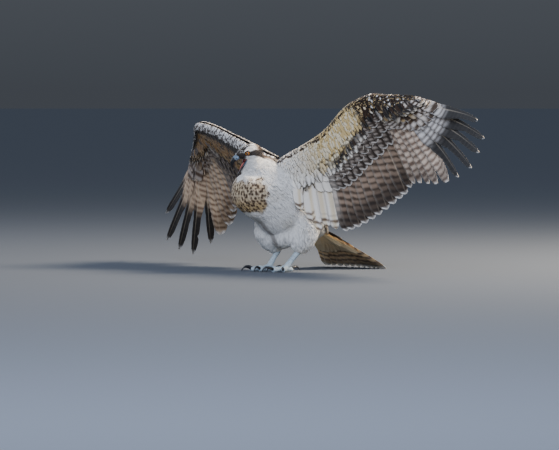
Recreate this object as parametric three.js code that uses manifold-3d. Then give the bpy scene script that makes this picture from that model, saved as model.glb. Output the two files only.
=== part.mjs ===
// A life-size osprey, just landed: wings raised and spread, bill open, tail fanned on the floor.
// Millimetres, +Z up. The bird faces -Y and its left side is +X. All places are given from a point
// on the floor between the feet, and the finished bird is centred over its own footprint at the end.
import * as THREE from "three";
import { mergeVertices } from "three/addons/utils/BufferGeometryUtils.js";
import Module from "manifold-3d";

const wasm = await Module();
wasm.setup();

// Driving dimensions
const GAP = 0.3; // clearance between neighbouring pieces
const VANE_THICKNESS = 0.7;
const FRONT_LEFT = new THREE.Vector3(0.766, -0.643, 0);
const VANE_TILT = THREE.MathUtils.degToRad(7); // each vane leans like a slat, outer edge up
const ARM_FEATHERS = 16; // secondaries, tertials and the long feathers of the armpit
const PRIMARY_COUNT = 10;
const TAIL_LENGTH = 202;
const TAIL_FEATHERS = 12;
const TAIL_HALF_FAN = THREE.MathUtils.degToRad(27);
const EYE_RADIUS = 8;
const TOE_RADIUS = 5.6;
const CLAW_LENGTH = 27;

const point = (x, y, z) => new THREE.Vector3(x, y, z);

// The wing's joints, how far its skin reaches ahead of the bones from inside the body to the finger
// end, how far the spread fingers are rolled to face the front left, and the feather tips that fix
// its outline by feather number, each wing in its own pose
const WINGS = {
  left: {
    side: 1,
    roll: 0,
    shoulder: point(40, -21, 270),
    elbow: point(154, 41, 316),
    wrist: point(268, 64, 445),
    fingerEnd: point(410, 79, 447),
    lead: [30, 32, 20, 18, 30, 17, 13, 9, 4],
    tips: [
      [0, point(725, 9, 396)],
      [1, point(735, 22, 352)],
      [2, point(714, 24, 317)],
      [3, point(672, 38, 278)],
      [4, point(608, 53, 254)],
      [6, point(493, 87, 236)],
      [9, point(354, 135, 232)],
      [11, point(309, 146, 204)],
      [16, point(230, 104, 139)],
      [20, point(163, 72, 107)],
      [22, point(114, 52, 118)],
      [23, point(96, 42, 106)],
      [24, point(86, 22, 130)],
      [25, point(78, -12, 162)],
    ],
  },
  right: {
    side: -1,
    roll: 0.7,
    shoulder: point(-40, -21, 270),
    elbow: point(-176, 2, 284),
    wrist: point(-324, -20, 368),
    fingerEnd: point(-427, 47, 314),
    lead: [34, 40, 44, 44, 38, 18, 12, 8, 4],
    tips: [
      [0, point(-693, 155, 131)],
      [1, point(-652, 125, 58)],
      [2, point(-608, 132, 34)],
      [3, point(-540, 126, 23)],
      [4, point(-481, 141, 54)],
      [6, point(-398, 138, 106)],
      [9, point(-332, 106, 156)],
      [11, point(-293, 100, 148)],
      [16, point(-206, 102, 118)],
      [20, point(-138, 92, 96)],
      [22, point(-104, 64, 112)],
      [23, point(-92, 44, 118)],
      [24, point(-84, 14, 138)],
      [25, point(-78, -16, 166)],
    ],
  },
};

// The torso's centre line from breast to rump, with its half width, and its depth above and below
const TORSO = [
  { at: point(-4, -158, 216), wide: 14, above: 16, below: 16 },
  { at: point(-4, -146, 214), wide: 40, above: 40, below: 40 },
  { at: point(-4, -106, 206), wide: 60, above: 58, below: 62 },
  { at: point(-1, -50, 200), wide: 66, above: 84, below: 90 },
  { at: point(0, 0, 184), wide: 66, above: 92, below: 98 },
  { at: point(0, 48, 154), wide: 56, above: 66, below: 70 },
  { at: point(0, 90, 122), wide: 40, above: 36, below: 40 },
  { at: point(0, 120, 102), wide: 25, above: 20, below: 22 },
];
const NECK = [
  { at: point(-2, -62, 232), wide: 52, above: 54, below: 58 },
  { at: point(-4, -78, 252), wide: 50, above: 50, below: 58 },
  { at: point(-4, -99, 275), wide: 37, above: 46, below: 40 },
  { at: point(-3, -110, 296), wide: 26, above: 34, below: 22 },
];
const HEAD = {
  centre: point(-2, -114, 306.5),
  yaw: THREE.MathUtils.degToRad(-22),
  pitch: THREE.MathUtils.degToRad(12),
};
const LEGS = {
  left: {
    side: 1,
    hip: point(40, 42, 148),
    thigh: point(42, 30, 104),
    hock: point(36, 14, 52),
    foot: point(31, -27, 9),
    heading: THREE.MathUtils.degToRad(8),
  },
  right: {
    side: -1,
    hip: point(-38, -4, 150),
    thigh: point(-41, -22, 108),
    hock: point(-36, 6, 54),
    foot: point(-32, -33, 9),
    heading: THREE.MathUtils.degToRad(-14),
  },
};
const TOES = [
  { name: "inner", turn: -30, length: 36 },
  { name: "middle", turn: 2, length: 48 },
  { name: "outer", turn: 36, length: 41 },
  { name: "hind", turn: 176, length: 27 },
];
const TAIL_ROOT = point(0, 118, 104);
const TAIL_AIM = point(-0.13, 0.845, -0.52).normalize();

const COLOURS = {
  white: 0xe9e6e0,
  brown: 0x4a3a2c,
  barred: 0x8a7358,
  bill: 0x1b1d22,
  cere: 0x8fa0ad,
  mouth: 0x9a4a44,
  iris: 0xc98a2a,
  foot: 0xa9b7bd,
  claw: 0x121316,
};

const mix = (a, b, t) => a.clone().lerp(b, t);

function solidOf(geometry) {
  const bare = new THREE.BufferGeometry();
  bare.setAttribute("position", geometry.getAttribute("position"));
  bare.setIndex(geometry.getIndex());
  const merged = mergeVertices(bare, 1e-4);
  const made = new wasm.Manifold(
    new wasm.Mesh({
      numProp: 3,
      vertProperties: merged.attributes.position.array,
      triVerts: new Uint32Array(merged.index.array),
    }),
  );
  return made;
}

function geometryOf(solid) {
  const mesh = solid.getMesh();
  const count = mesh.vertProperties.length / mesh.numProp;
  const positions = new Float32Array(count * 3);
  for (let i = 0; i < count; i++) {
    positions.set(mesh.vertProperties.subarray(i * mesh.numProp, i * mesh.numProp + 3), i * 3);
  }
  const geometry = new THREE.BufferGeometry();
  geometry.setAttribute("position", new THREE.BufferAttribute(positions, 3));
  geometry.setIndex(new THREE.BufferAttribute(new Uint32Array(mesh.triVerts), 1));
  return geometry;
}

// A closed skin over a row of rings with as many points each, its ends closed by fans.
function skinned(rings) {
  const across = rings[0].length;
  const vertices = rings.flat();
  const faces = [];
  for (let i = 0; i < rings.length - 1; i++) {
    for (let j = 0; j < across; j++) {
      const k = (j + 1) % across;
      const [a, b, c, d] = [i * across + j, i * across + k, (i + 1) * across + k, (i + 1) * across + j];
      faces.push(a, b, c, a, c, d);
    }
  }
  for (const [i, turn] of [
    [0, true],
    [rings.length - 1, false],
  ]) {
    const middle = vertices.length;
    vertices.push(rings[i].reduce((sum, p) => sum.add(p), point(0, 0, 0)).divideScalar(across));
    for (let j = 0; j < across; j++) {
      const [a, b] = [i * across + j, i * across + ((j + 1) % across)];
      faces.push(...(turn ? [middle, b, a] : [middle, a, b]));
    }
  }
  return facingOut(vertices, faces);
}

function facingOut(vertices, faces) {
  let volume = 0;
  for (let i = 0; i < faces.length; i += 3) {
    const [a, b, c] = [vertices[faces[i]], vertices[faces[i + 1]], vertices[faces[i + 2]]];
    volume += a.dot(b.clone().cross(c));
  }
  if (volume < 0) faces.reverse();
  const geometry = new THREE.BufferGeometry().setFromPoints(vertices);
  geometry.setIndex(faces);
  return geometry;
}

// Smooth values between the stations of a list, at share t of the way along.
function between(values, t) {
  const place = THREE.MathUtils.clamp(t, 0, 1) * (values.length - 1);
  const i = Math.min(Math.floor(place), values.length - 2);
  const f = place - i;
  const [a, b, c, d] = [i - 1, i, i + 1, i + 2].map((k) => values[THREE.MathUtils.clamp(k, 0, values.length - 1)]);
  return b + 0.5 * f * (c - a + f * (2 * a - 5 * b + 4 * c - d + f * (3 * (b - c) + d - a)));
}

// A body form along stations {at, wide, above, below}; side is the direction of its width.
function form(stations, { sides = 14, steps = 12, grow = 0, side = point(1, 0, 0) } = {}) {
  const line = new THREE.CatmullRomCurve3(stations.map((s) => s.at));
  const rings = [];
  const upwards = side.clone().cross(line.getTangent(0)).z < 0 ? -1 : 1;
  for (let i = 0; i <= steps; i++) {
    const t = i / steps;
    const centre = line.getPoint(t);
    const along = line.getTangent(t);
    const wide = side.clone().addScaledVector(along, -side.dot(along)).normalize();
    const high = wide.clone().cross(along).multiplyScalar(upwards);
    const [w, a, b] = ["wide", "above", "below"].map((key) => between(stations.map((s) => s[key]), t) + grow);
    const end = i === 0 ? -grow : i === steps ? grow : 0;
    rings.push(
      Array.from({ length: sides }, (_, j) => {
        const turn = (2 * Math.PI * j) / sides;
        const lift = Math.sin(turn);
        return centre
          .clone()
          .addScaledVector(along, end)
          .addScaledVector(wide, w * Math.cos(turn))
          .addScaledVector(high, (lift > 0 ? a : b) * lift);
      }),
    );
  }
  return solidOf(skinned(rings));
}

// A round limb through points with a radius at each.
function limb(points, radii, { sides = 10, steps = 8 } = {}) {
  const stations = points.map((at, i) => ({ at, wide: radii[i], above: radii[i], below: radii[i] }));
  const upright = Math.abs(points.at(-1).clone().sub(points[0]).normalize().x) > 0.8;
  return form(stations, { sides, steps, side: upright ? point(0, 1, 0) : point(1, 0, 0) });
}

function largest(solid) {
  return solid.decompose().sort((a, b) => b.volume() - a.volume())[0];
}

const united = (solids) => largest(wasm.Manifold.union(solids));

// One feather vane: a thin strip from root to tip. Both faces are split alike.
// The frame has root, along, length, acrossRoot, acrossTip, side and bow.
function vane(frame, { from = 0, to = frame.length, widths, lift = () => 0, thick = VANE_THICKNESS }) {
  const last = widths.length - 1;
  const vertices = [];
  widths.forEach(([t, inner, outer]) => {
    const run = from + (to - from) * t;
    const share = run / frame.length;
    const across = frame.acrossRoot.clone().lerp(frame.acrossTip, THREE.MathUtils.clamp(share, 0, 1));
    across.addScaledVector(frame.along, -across.dot(frame.along)).normalize();
    const dorsal = across.clone().cross(frame.along).multiplyScalar(frame.side);
    const slat = across.clone().multiplyScalar(Math.cos(frame.tilt)).addScaledVector(dorsal, Math.sin(frame.tilt));
    const up = slat.clone().cross(frame.along).multiplyScalar(frame.side);
    const spine = frame.root
      .clone()
      .addScaledVector(frame.along, run)
      .addScaledVector(dorsal, 4 * frame.bow * frame.length * share * (1 - share) + lift(t));
    for (const [width, sign] of [
      [-inner, 1],
      [outer, 1],
      [outer, -1],
      [-inner, -1],
    ]) {
      vertices.push(spine.clone().addScaledVector(slat, width).addScaledVector(up, (sign * thick) / 2));
    }
  });
  const faces = [];
  for (let i = 0; i < last; i++) {
    const a = 4 * i;
    const b = a + 4;
    faces.push(a, a + 1, b + 1, a, b + 1, b); // upper face
    faces.push(a + 3, b + 2, a + 2, a + 3, b + 3, b + 2); // lower face, split the same way
    faces.push(a + 1, a + 2, b + 2, a + 1, b + 2, b + 1);
    faces.push(a + 3, a, b, a + 3, b, b + 3);
  }
  faces.push(0, 3, 2, 0, 2, 1);
  const e = 4 * last;
  faces.push(e, e + 1, e + 2, e, e + 2, e + 3);
  return solidOf(facingOut(vertices, faces));
}

// Vane outlines as [share of the length, inner half width, outer half width], for a width of 1
const ROUND_VANE = [
  [0, 0.12, 0.1],
  [0.16, 0.34, 0.22],
  [0.5, 0.66, 0.38],
  [0.86, 0.6, 0.36],
  [0.96, 0.44, 0.28],
  [1, 0.18, 0.12],
];
const FINGER_VANE = [
  [0, 0.12, 0.08],
  [0.2, 0.44, 0.2],
  [0.48, 0.66, 0.26],
  [0.66, 0.38, 0.17],
  [0.92, 0.3, 0.15],
  [1, 0.07, 0.05],
];
const COVERT_VANE = [
  [0, 0.22, 0.2],
  [0.7, 0.52, 0.44],
  [1, 0.2, 0.18],
];
const sized = (outline, width) => outline.map(([t, inner, outer]) => [t, inner * width, outer * width]);

// The line of feather roots by feather number: the hand, the forearm, then on to the shoulder
function rootLine(wing) {
  const { shoulder, elbow, wrist, fingerEnd } = wing;
  return (i) => {
    if (i <= 9) return mix(fingerEnd, wrist, (i / 9) * 0.94);
    if (i <= 19) return mix(wrist, elbow, 0.03 + ((i - 10) / 9) * 0.97);
    return mix(elbow, shoulder, ((i - 19) / 6) * 0.8);
  };
}

function tipLine(wing) {
  const places = wing.tips.map(([i]) => i);
  const curve = new THREE.CatmullRomCurve3(
    wing.tips.map(([, at]) => at),
    false,
    "centripetal",
  );
  return (i) => {
    let k = places.findIndex((p) => p >= i);
    if (k < 1) k = 1;
    const f = (i - places[k - 1]) / (places[k] - places[k - 1]);
    return curve.getPoint((k - 1 + f) / (places.length - 1));
  };
}

// The wing's flight feathers as frames that their coverts share
function featherFrames(wing) {
  const rootAt = rootLine(wing);
  const tipAt = tipLine(wing);
  const last = PRIMARY_COUNT + ARM_FEATHERS - 1;
  return Array.from({ length: last + 1 }, (_, i) => {
    const root = rootAt(i);
    const tip = tipAt(i);
    const along = tip.clone().sub(root);
    const length = along.length();
    along.normalize();
    const outwards = (at) => {
      const d = at(Math.max(i - 0.7, 0)).clone().sub(at(Math.min(i + 0.7, last)));
      return d.addScaledVector(along, -d.dot(along)).normalize();
    };
    const primary = i < PRIMARY_COUNT;
    const rolled = along.clone().cross(FRONT_LEFT).normalize();
    if (rolled.dot(outwards(tipAt)) < 0) rolled.negate();
    const share = wing.roll * THREE.MathUtils.smoothstep(10.5 - i, 0, 3.5);
    return {
      index: i,
      primary,
      root,
      along,
      length,
      acrossRoot: outwards(rootAt).lerp(outwards(tipAt), 0.35).lerp(rolled, share / 2).normalize(),
      acrossTip: outwards(tipAt).lerp(rolled, share).normalize(),
      side: wing.side,
      tilt: VANE_TILT,
      bow: primary ? 0.045 : 0.035,
      width: primary ? 46 - 1.6 * Math.abs(i - 4) : i < 20 ? 38 : 30,
    };
  });
}

// The fleshy arm and hand: a blunt-nosed section that carries the roots
function wingCore(wing, frames) {
  const { shoulder, elbow, wrist, fingerEnd } = wing;
  const fold = mix(shoulder, wrist, 0.5);
  const inside = shoulder.clone().add(point(-wing.side * 18, 6, -6));
  const last = fingerEnd.clone().addScaledVector(frames[0].along, 14);
  const stations = [
    { front: inside, back: inside, trail: 30, thick: 46, like: 24 },
    { front: shoulder, back: shoulder, trail: 32, thick: 44, like: 23 },
    { front: mix(shoulder, fold, 0.62), back: mix(shoulder, elbow, 0.62), trail: 24, thick: 36, like: 21 },
    { front: fold, back: elbow, trail: 17, thick: 30, like: 16 },
    { front: mix(fold, wrist, 0.55), back: mix(elbow, wrist, 0.55), trail: 16, thick: 26, like: 14 },
    { front: wrist, back: wrist, trail: 17, thick: 22, like: 10 },
    { front: mix(wrist, fingerEnd, 0.4), back: mix(wrist, fingerEnd, 0.4), trail: 17, thick: 17, like: 5 },
    { front: fingerEnd, back: fingerEnd, trail: 13, thick: 11, like: 1 },
    { front: last, back: last, trail: 6, thick: 6, like: 0 },
  ];
  const outline = Array.from({ length: 10 }, (_, j) => (2 * Math.PI * j) / 10);
  const rings = stations.map((s, k) => {
    const before = stations[Math.max(k - 1, 0)];
    const after = stations[Math.min(k + 1, stations.length - 1)];
    const span = after.back.clone().add(after.front).sub(before.back).sub(before.front).normalize();
    const along = frames[s.like].along;
    const chord = along.clone().addScaledVector(span, -0.8 * along.dot(span)).normalize();
    const up = span.clone().cross(chord).multiplyScalar(wing.side).normalize();
    const nose = s.front.clone().addScaledVector(chord, -wing.lead[k]);
    const tail = s.back.clone().addScaledVector(chord, s.trail);
    return outline.map((turn) => {
      const run = 0.5 - 0.5 * Math.cos(turn);
      const depth = Math.sin(turn) * (s.thick / 2) * (1.25 - 0.7 * run);
      return mix(nose, tail, run).addScaledVector(up, depth);
    });
  });
  return solidOf(skinned(rings));
}

// The layers of coverts over and under the flight feathers: every how many feathers one grows,
// its reach as a share of the flight feather on arm and hand, its width, and its lift at root and tip
const COVERT_LAYERS = [
  { every: 2, arm: 0.44, hand: 0.36, width: 42, lift: [4, 5.4] },
  { every: 2, arm: 0.42, hand: 0.34, width: 42, lift: [-4.2, -6.6] },
];

function wingSolid(wing) {
  const frames = featherFrames(wing);
  const pieces = [wingCore(wing, frames)];
  for (const f of frames) {
    const outline = f.index < 5 ? FINGER_VANE : ROUND_VANE;
    pieces.push(vane(f, { widths: sized(outline, f.width), from: -4 }));
    for (const layer of COVERT_LAYERS) {
      if (f.index % layer.every || f.index > 21) continue;
      const reach = f.length * (f.primary ? layer.hand : layer.arm);
      const [low, high] = layer.lift;
      const widths = sized(COVERT_VANE, layer.width);
      pieces.push(vane(f, { widths, from: -3, to: reach, lift: (t) => low + (high - low) * t }));
    }
  }
  return united(pieces);
}

// The wing in two pieces, parted across the wrist between the last primary and the first secondary
function partedWing(wing) {
  const whole = wingSolid(wing);
  const seam = mix(tipLine(wing)(9), tipLine(wing)(10), 0.5).sub(wing.wrist).normalize();
  const span = wing.fingerEnd.clone().sub(wing.elbow);
  span.addScaledVector(seam, -span.dot(seam)).normalize();
  const cut = new THREE.BoxGeometry(GAP, 3000, 3000);
  cut.deleteAttribute("normal");
  cut.deleteAttribute("uv");
  const turn = new THREE.Matrix4().makeBasis(span, seam, span.clone().cross(seam));
  cut.applyMatrix4(turn.setPosition(wing.wrist));
  const halves = whole.subtract(solidOf(cut)).decompose();
  halves.sort((a, b) => b.volume() - a.volume());
  const outerX = (solid) => Math.max(...[0, 1].map((k) => Math.abs(solid.boundingBox()[k ? "max" : "min"][0])));
  const [arm, hand] = halves.slice(0, 2).sort((a, b) => outerX(a) - outerX(b));
  return { arm, hand };
}

// The fanned tail with its coverts, laid on the floor at its tips
function tailSolid() {
  const sideways = point(1, 0, 0).addScaledVector(TAIL_AIM, -TAIL_AIM.x).normalize();
  const rump = [
    { at: TAIL_ROOT.clone().addScaledVector(TAIL_AIM, -12), wide: 22, above: 15, below: 17 },
    { at: TAIL_ROOT.clone().addScaledVector(TAIL_AIM, 14), wide: 24, above: 12, below: 15 },
    { at: TAIL_ROOT.clone().addScaledVector(TAIL_AIM, 44), wide: 22, above: 6, below: 8 },
    { at: TAIL_ROOT.clone().addScaledVector(TAIL_AIM, 58), wide: 16, above: 2.5, below: 3 },
  ];
  const pieces = [form(rump, { sides: 12, steps: 6 })];
  const middle = (TAIL_FEATHERS - 1) / 2;
  for (let i = 0; i < TAIL_FEATHERS; i++) {
    const place = (i - middle) / middle; // -1 at the bird's right edge, 1 at its left
    const side = Math.sign(place);
    const turn = place * TAIL_HALF_FAN;
    const along = TAIL_AIM.clone().multiplyScalar(Math.cos(turn)).addScaledVector(sideways, Math.sin(turn));
    const across = sideways.clone().multiplyScalar(Math.cos(turn)).addScaledVector(TAIL_AIM, -Math.sin(turn)).multiplyScalar(side);
    const dorsal = sideways.clone().cross(TAIL_AIM);
    const root = TAIL_ROOT.clone()
      .addScaledVector(sideways, place * 17)
      .addScaledVector(dorsal, 3.4 - 1.2 * Math.abs(place) * middle);
    const length = TAIL_LENGTH - 3 * place * place;
    along.z = (0.6 - root.z) / length;
    along.normalize();
    const frame = {
      root,
      along,
      length,
      acrossRoot: across,
      acrossTip: across,
      side,
      tilt: 0,
      bow: 0.012,
    };
    pieces.push(vane(frame, { widths: sized(ROUND_VANE, 32), from: 6 }));
    if (i % 2 === 0 || Math.abs(place) < 0.2) {
      pieces.push(
        vane(frame, { widths: sized(COVERT_VANE, 32), from: 0, to: 82, lift: (t) => 2.6 + 2.6 * t }),
        vane(frame, { widths: sized(COVERT_VANE, 34), from: 0, to: 104, lift: (t) => -3 - 4.4 * t }),
      );
    }
  }
  return largest(united(pieces).subtract(underFloor()).subtract(torso(GAP)));
}

function underFloor() {
  const slab = new THREE.BoxGeometry(2000, 2000, 100);
  slab.deleteAttribute("normal");
  slab.deleteAttribute("uv");
  slab.translate(0, 0, -50);
  return solidOf(slab);
}

const torso = (grow = 0) => form(TORSO, { sides: 18, steps: 14, grow });
const neck = (grow = 0) => form(NECK, { sides: 16, steps: 7, grow });

// The head's pieces are shaped level and facing -Y, then turned and set on the neck
const headPlace = new THREE.Matrix4()
  .makeTranslation(HEAD.centre.x, HEAD.centre.y, HEAD.centre.z)
  .multiply(new THREE.Matrix4().makeRotationZ(HEAD.yaw))
  .multiply(new THREE.Matrix4().makeRotationX(HEAD.pitch));
const onHead = (solid) => solid.transform(headPlace.elements);

function ball(radius, at, squash = point(1, 1, 1), detail = 12) {
  const sphere = new THREE.SphereGeometry(radius, detail, Math.round(detail * 0.7));
  sphere.deleteAttribute("normal");
  sphere.deleteAttribute("uv");
  sphere.scale(squash.x, squash.y, squash.z);
  sphere.translate(at.x, at.y, at.z);
  return solidOf(sphere);
}

const eyeAt = (side) => point(side * 15.5, -13, 3);
const CERE_LINE = -40; // where the bill leaves the feathers

function skull(grow = 0) {
  const stations = [
    { at: point(0, 30, -2), wide: 12, above: 12, below: 12 },
    { at: point(0, 18, 0), wide: 22, above: 21, below: 22 },
    { at: point(0, 0, 2), wide: 25, above: 24, below: 23 },
    { at: point(0, -18, 2), wide: 22, above: 20, below: 17 },
    { at: point(0, -32, 1), wide: 15, above: 15, below: 11 },
    { at: point(0, CERE_LINE - 1, -1), wide: 8.5, above: 10, below: 6 },
  ];
  return form(stations, { sides: 16, steps: 10, grow });
}

function headSolid() {
  const brows = [-1, 1].map((side) =>
    limb([point(side * 10, -24, 8), point(side * 17.5, -15, 12), point(side * 19, -3, 10)], [2, 3.4, 2], { sides: 6, steps: 4 }),
  );
  const lids = [-1, 1].map((side) => {
    const ring = new THREE.TorusGeometry(EYE_RADIUS * 0.78, 1.5, 5, 12);
    ring.deleteAttribute("normal");
    ring.deleteAttribute("uv");
    ring.rotateY(Math.PI / 2 - side * 0.18);
    ring.translate(side * 20.6, -14, 3);
    return solidOf(ring);
  });
  let head = united([skull(), ...brows, ...lids]);
  for (const side of [-1, 1]) head = head.subtract(ball(EYE_RADIUS + GAP, eyeAt(side)));
  return largest(onHead(head).subtract(neck(GAP)));
}

function upperBill() {
  const stations = [
    { at: point(0, CERE_LINE + 1, -4), wide: 9.6, above: 8, below: 5 },
    { at: point(0, -45, -6), wide: 8.4, above: 7.8, below: 4.2 },
    { at: point(0, -51, -10.5), wide: 6.2, above: 6.4, below: 4.2 },
    { at: point(0, -54.6, -17), wide: 3.8, above: 4.2, below: 4 },
    { at: point(0, -55, -23), wide: 2, above: 2.2, below: 2.4 },
    { at: point(0, -54, -27.5), wide: 0.7, above: 0.8, below: 0.8 },
  ];
  let bill = form(stations, { sides: 12, steps: 12 });
  for (const side of [-1, 1]) {
    bill = bill.subtract(ball(1.7, point(side * 8.4, -44.5, -3.4), point(1, 1.6, 0.8), 8));
  }
  return onHead(bill);
}

function lowerBill(grow = 0) {
  const stations = [
    { at: point(0, -17, -15), wide: 9, above: 2.6, below: 5 },
    { at: point(0, -28, -26), wide: 7, above: 1.8, below: 4.4 },
    { at: point(0, -37, -36), wide: 4.8, above: 1.4, below: 3.4 },
    { at: point(0, -45, -45.5), wide: 1.3, above: 0.7, below: 1 },
  ];
  return onHead(form(stations, { sides: 12, steps: 8, grow }));
}

function tongue() {
  const stations = [
    { at: point(0, -25, -19.5), wide: 4, above: 1.3, below: 1 },
    { at: point(0, -31, -25.4), wide: 3.4, above: 1.3, below: 0.8 },
    { at: point(0, -37, -32), wide: 1.4, above: 0.7, below: 0.6 },
  ];
  return onHead(form(stations, { sides: 8, steps: 4 })).subtract(lowerBill(GAP));
}

function thigh(leg, grow = 0) {
  const { hip, thigh: middle, hock } = leg;
  const radii = [36, 38, 31, 17].map((r) => r + grow);
  return limb([hip, middle, mix(hock, middle, 0.35), hock], radii, { sides: 14, steps: 8 });
}

function shank(leg) {
  const { hock, foot } = leg;
  const low = foot.clone().add(point(0, 9, 6));
  return limb([mix(hock, leg.thigh, 0.12), hock, mix(hock, low, 0.5), low], [8, 7.4, 5.6, 7], { steps: 6 });
}

// Where a toe ends and its claw begins, and the way it points
function toeEnd(leg, toe) {
  const turn = leg.heading + leg.side * THREE.MathUtils.degToRad(toe.turn);
  const aim = point(Math.sin(turn), -Math.cos(turn), 0);
  const at = leg.foot.clone().setZ(TOE_RADIUS * 0.86).addScaledVector(aim, toe.length);
  return { aim, at };
}

function footForm(leg, grow = 0) {
  const pad = ball(10.5 + grow, leg.foot, point(1, 1.1, 0.8), 10);
  const toes = TOES.map((toe) => {
    const { aim, at } = toeEnd(leg, toe);
    const heel = leg.foot.clone().setZ(TOE_RADIUS);
    const knuckle = mix(heel, at, 0.55).setZ(TOE_RADIUS * 1.25);
    const before = at.clone().addScaledVector(aim, -5).setZ(TOE_RADIUS * 0.95);
    const end = at.clone().addScaledVector(aim, grow);
    const radii = [7.2, 5.9, 5.5, 4].map((r) => r + grow);
    return limb([heel, knuckle, before, end], radii, { sides: 8, steps: 5 });
  });
  return united([pad, ...toes]);
}

// A claw: a tapering arc that leaves the toe, rises and comes down to the floor
function claw(leg, toe) {
  const { aim, at } = toeEnd(leg, toe);
  const arc = (run, z) => at.clone().setZ(z).addScaledVector(aim, run * CLAW_LENGTH);
  const points = [arc(-0.16, 5.6), arc(0.18, 10.6), arc(0.56, 11.8), arc(0.84, 7.2), arc(0.93, 0.9)];
  return limb(points, [3.5, 3.4, 2.7, 1.7, 0.45], { sides: 7, steps: 7 });
}

const bird = new THREE.Group();

function place(name, solid, colour, roughness = 0.85) {
  const material = new THREE.MeshStandardMaterial({ color: colour, roughness, metalness: 0 });
  const mesh = new THREE.Mesh(geometryOf(solid), material);
  mesh.name = name;
  bird.add(mesh);
}

const body = torso();
const headPiece = headSolid();
place("torso", body, COLOURS.white);
place("neck", largest(neck().subtract(torso(GAP))), COLOURS.white);
place("head", headPiece, COLOURS.white);
const skullClear = onHead(skull(GAP)).add(neck(GAP));
place("bill_upper", largest(upperBill().subtract(skullClear)), COLOURS.bill, 0.35);
place("bill_lower", largest(lowerBill().subtract(skullClear)), COLOURS.bill, 0.35);
place("tongue", largest(tongue().subtract(skullClear)), COLOURS.mouth, 0.5);
for (const [name, side] of [
  ["eye_left", 1],
  ["eye_right", -1],
]) {
  place(name, onHead(ball(EYE_RADIUS, eyeAt(side))), COLOURS.iris, 0.15);
}
place("tail", tailSolid(), COLOURS.barred);
for (const [name, wing] of Object.entries(WINGS)) {
  const { arm, hand } = partedWing(wing);
  const leg = LEGS[name];
  const clear = [torso(GAP), neck(GAP), thigh(leg, GAP)].reduce((solid, near) => solid.subtract(near), arm);
  place(`wing_${name}_arm`, largest(clear), COLOURS.brown);
  place(`wing_${name}_hand`, hand, COLOURS.brown);
}
for (const [name, leg] of Object.entries(LEGS)) {
  const footClear = footForm(leg, GAP);
  place(`thigh_${name}`, largest(thigh(leg).subtract(torso(GAP))), COLOURS.white);
  const bareLeg = largest(shank(leg).subtract(thigh(leg, GAP)).subtract(footClear));
  place(`shank_${name}`, bareLeg, COLOURS.foot, 0.6);
  place(`foot_${name}`, largest(footForm(leg).subtract(underFloor())), COLOURS.foot, 0.6);
  for (const toe of TOES) {
    const piece = largest(claw(leg, toe).subtract(footClear).subtract(underFloor()));
    place(`claw_${name}_${toe.name}`, piece, COLOURS.claw, 0.3);
  }
}

// The origin is the middle of the bird's footprint, on the floor
const reach = new THREE.Box3().setFromObject(bird);
bird.position.set(-(reach.min.x + reach.max.x) / 2, -(reach.min.y + reach.max.y) / 2, -reach.min.z);

export default bird;
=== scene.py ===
import math

import bpy
import numpy as np
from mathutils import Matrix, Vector


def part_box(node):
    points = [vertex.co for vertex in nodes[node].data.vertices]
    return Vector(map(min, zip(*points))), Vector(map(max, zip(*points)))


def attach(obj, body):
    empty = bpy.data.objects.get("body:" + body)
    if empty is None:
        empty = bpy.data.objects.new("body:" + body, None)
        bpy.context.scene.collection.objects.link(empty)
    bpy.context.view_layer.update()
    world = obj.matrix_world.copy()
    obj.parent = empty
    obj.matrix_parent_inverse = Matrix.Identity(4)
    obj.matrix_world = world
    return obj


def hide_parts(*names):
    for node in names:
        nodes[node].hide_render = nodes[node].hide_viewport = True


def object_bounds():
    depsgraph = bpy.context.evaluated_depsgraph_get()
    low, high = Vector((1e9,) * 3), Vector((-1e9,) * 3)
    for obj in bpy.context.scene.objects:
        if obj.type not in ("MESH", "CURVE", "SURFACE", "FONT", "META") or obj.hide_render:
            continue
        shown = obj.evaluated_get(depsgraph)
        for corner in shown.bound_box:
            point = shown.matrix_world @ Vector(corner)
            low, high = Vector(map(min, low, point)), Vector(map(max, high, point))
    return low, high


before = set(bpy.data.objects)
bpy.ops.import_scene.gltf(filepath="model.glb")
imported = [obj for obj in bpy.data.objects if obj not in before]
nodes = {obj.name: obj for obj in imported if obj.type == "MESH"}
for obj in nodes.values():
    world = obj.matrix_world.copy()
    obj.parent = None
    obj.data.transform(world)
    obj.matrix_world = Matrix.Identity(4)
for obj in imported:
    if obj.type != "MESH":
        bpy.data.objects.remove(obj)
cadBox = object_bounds()
print("frame loaded:", len(nodes), "nodes")

# Places below are in millimetres from a point on the floor between the feet.
# The bird faces -Y, its left is +X. birdShift brings them to the model's own frame.
mm = 0.001
headSettings = {
    "centre": (-2, -114, 306.5),
    "yaw": -22,
    "pitch": 12,
    "eye": (15.5, -13, 3),  # the left eye in the head's own axes
    "eyeRadius": 8.0,
}


def turnMatrix(yaw, pitch):
    a, b = math.radians(yaw), math.radians(pitch)
    turned = np.array([[math.cos(a), -math.sin(a), 0], [math.sin(a), math.cos(a), 0], [0, 0, 1]])
    tipped = np.array([[1, 0, 0], [0, math.cos(b), -math.sin(b)], [0, math.sin(b), math.cos(b)]])
    return turned @ tipped


headTurn = turnMatrix(headSettings["yaw"], headSettings["pitch"])
headCentre = np.array(headSettings["centre"], float)


def onHead(p):
    return headCentre + np.asarray(p, float) @ headTurn.T


def inHead(p):
    return (np.asarray(p, float) - headCentre) @ headTurn


eyeMiddle = np.array(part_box("eye_left")).mean(0) / mm
birdShift = eyeMiddle - onHead(headSettings["eye"])


def toFrame(p):
    return (np.asarray(p, float) + birdShift) * mm


def toBird(p):
    return np.asarray(p, float) / mm - birdShift


# Colours and small tools
def hexColour(text):
    parts = [int(text[i : i + 2], 16) / 255 for i in (0, 2, 4)]
    return np.array([c / 12.92 if c <= 0.04045 else ((c + 0.055) / 1.055) ** 2.4 for c in parts])


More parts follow.
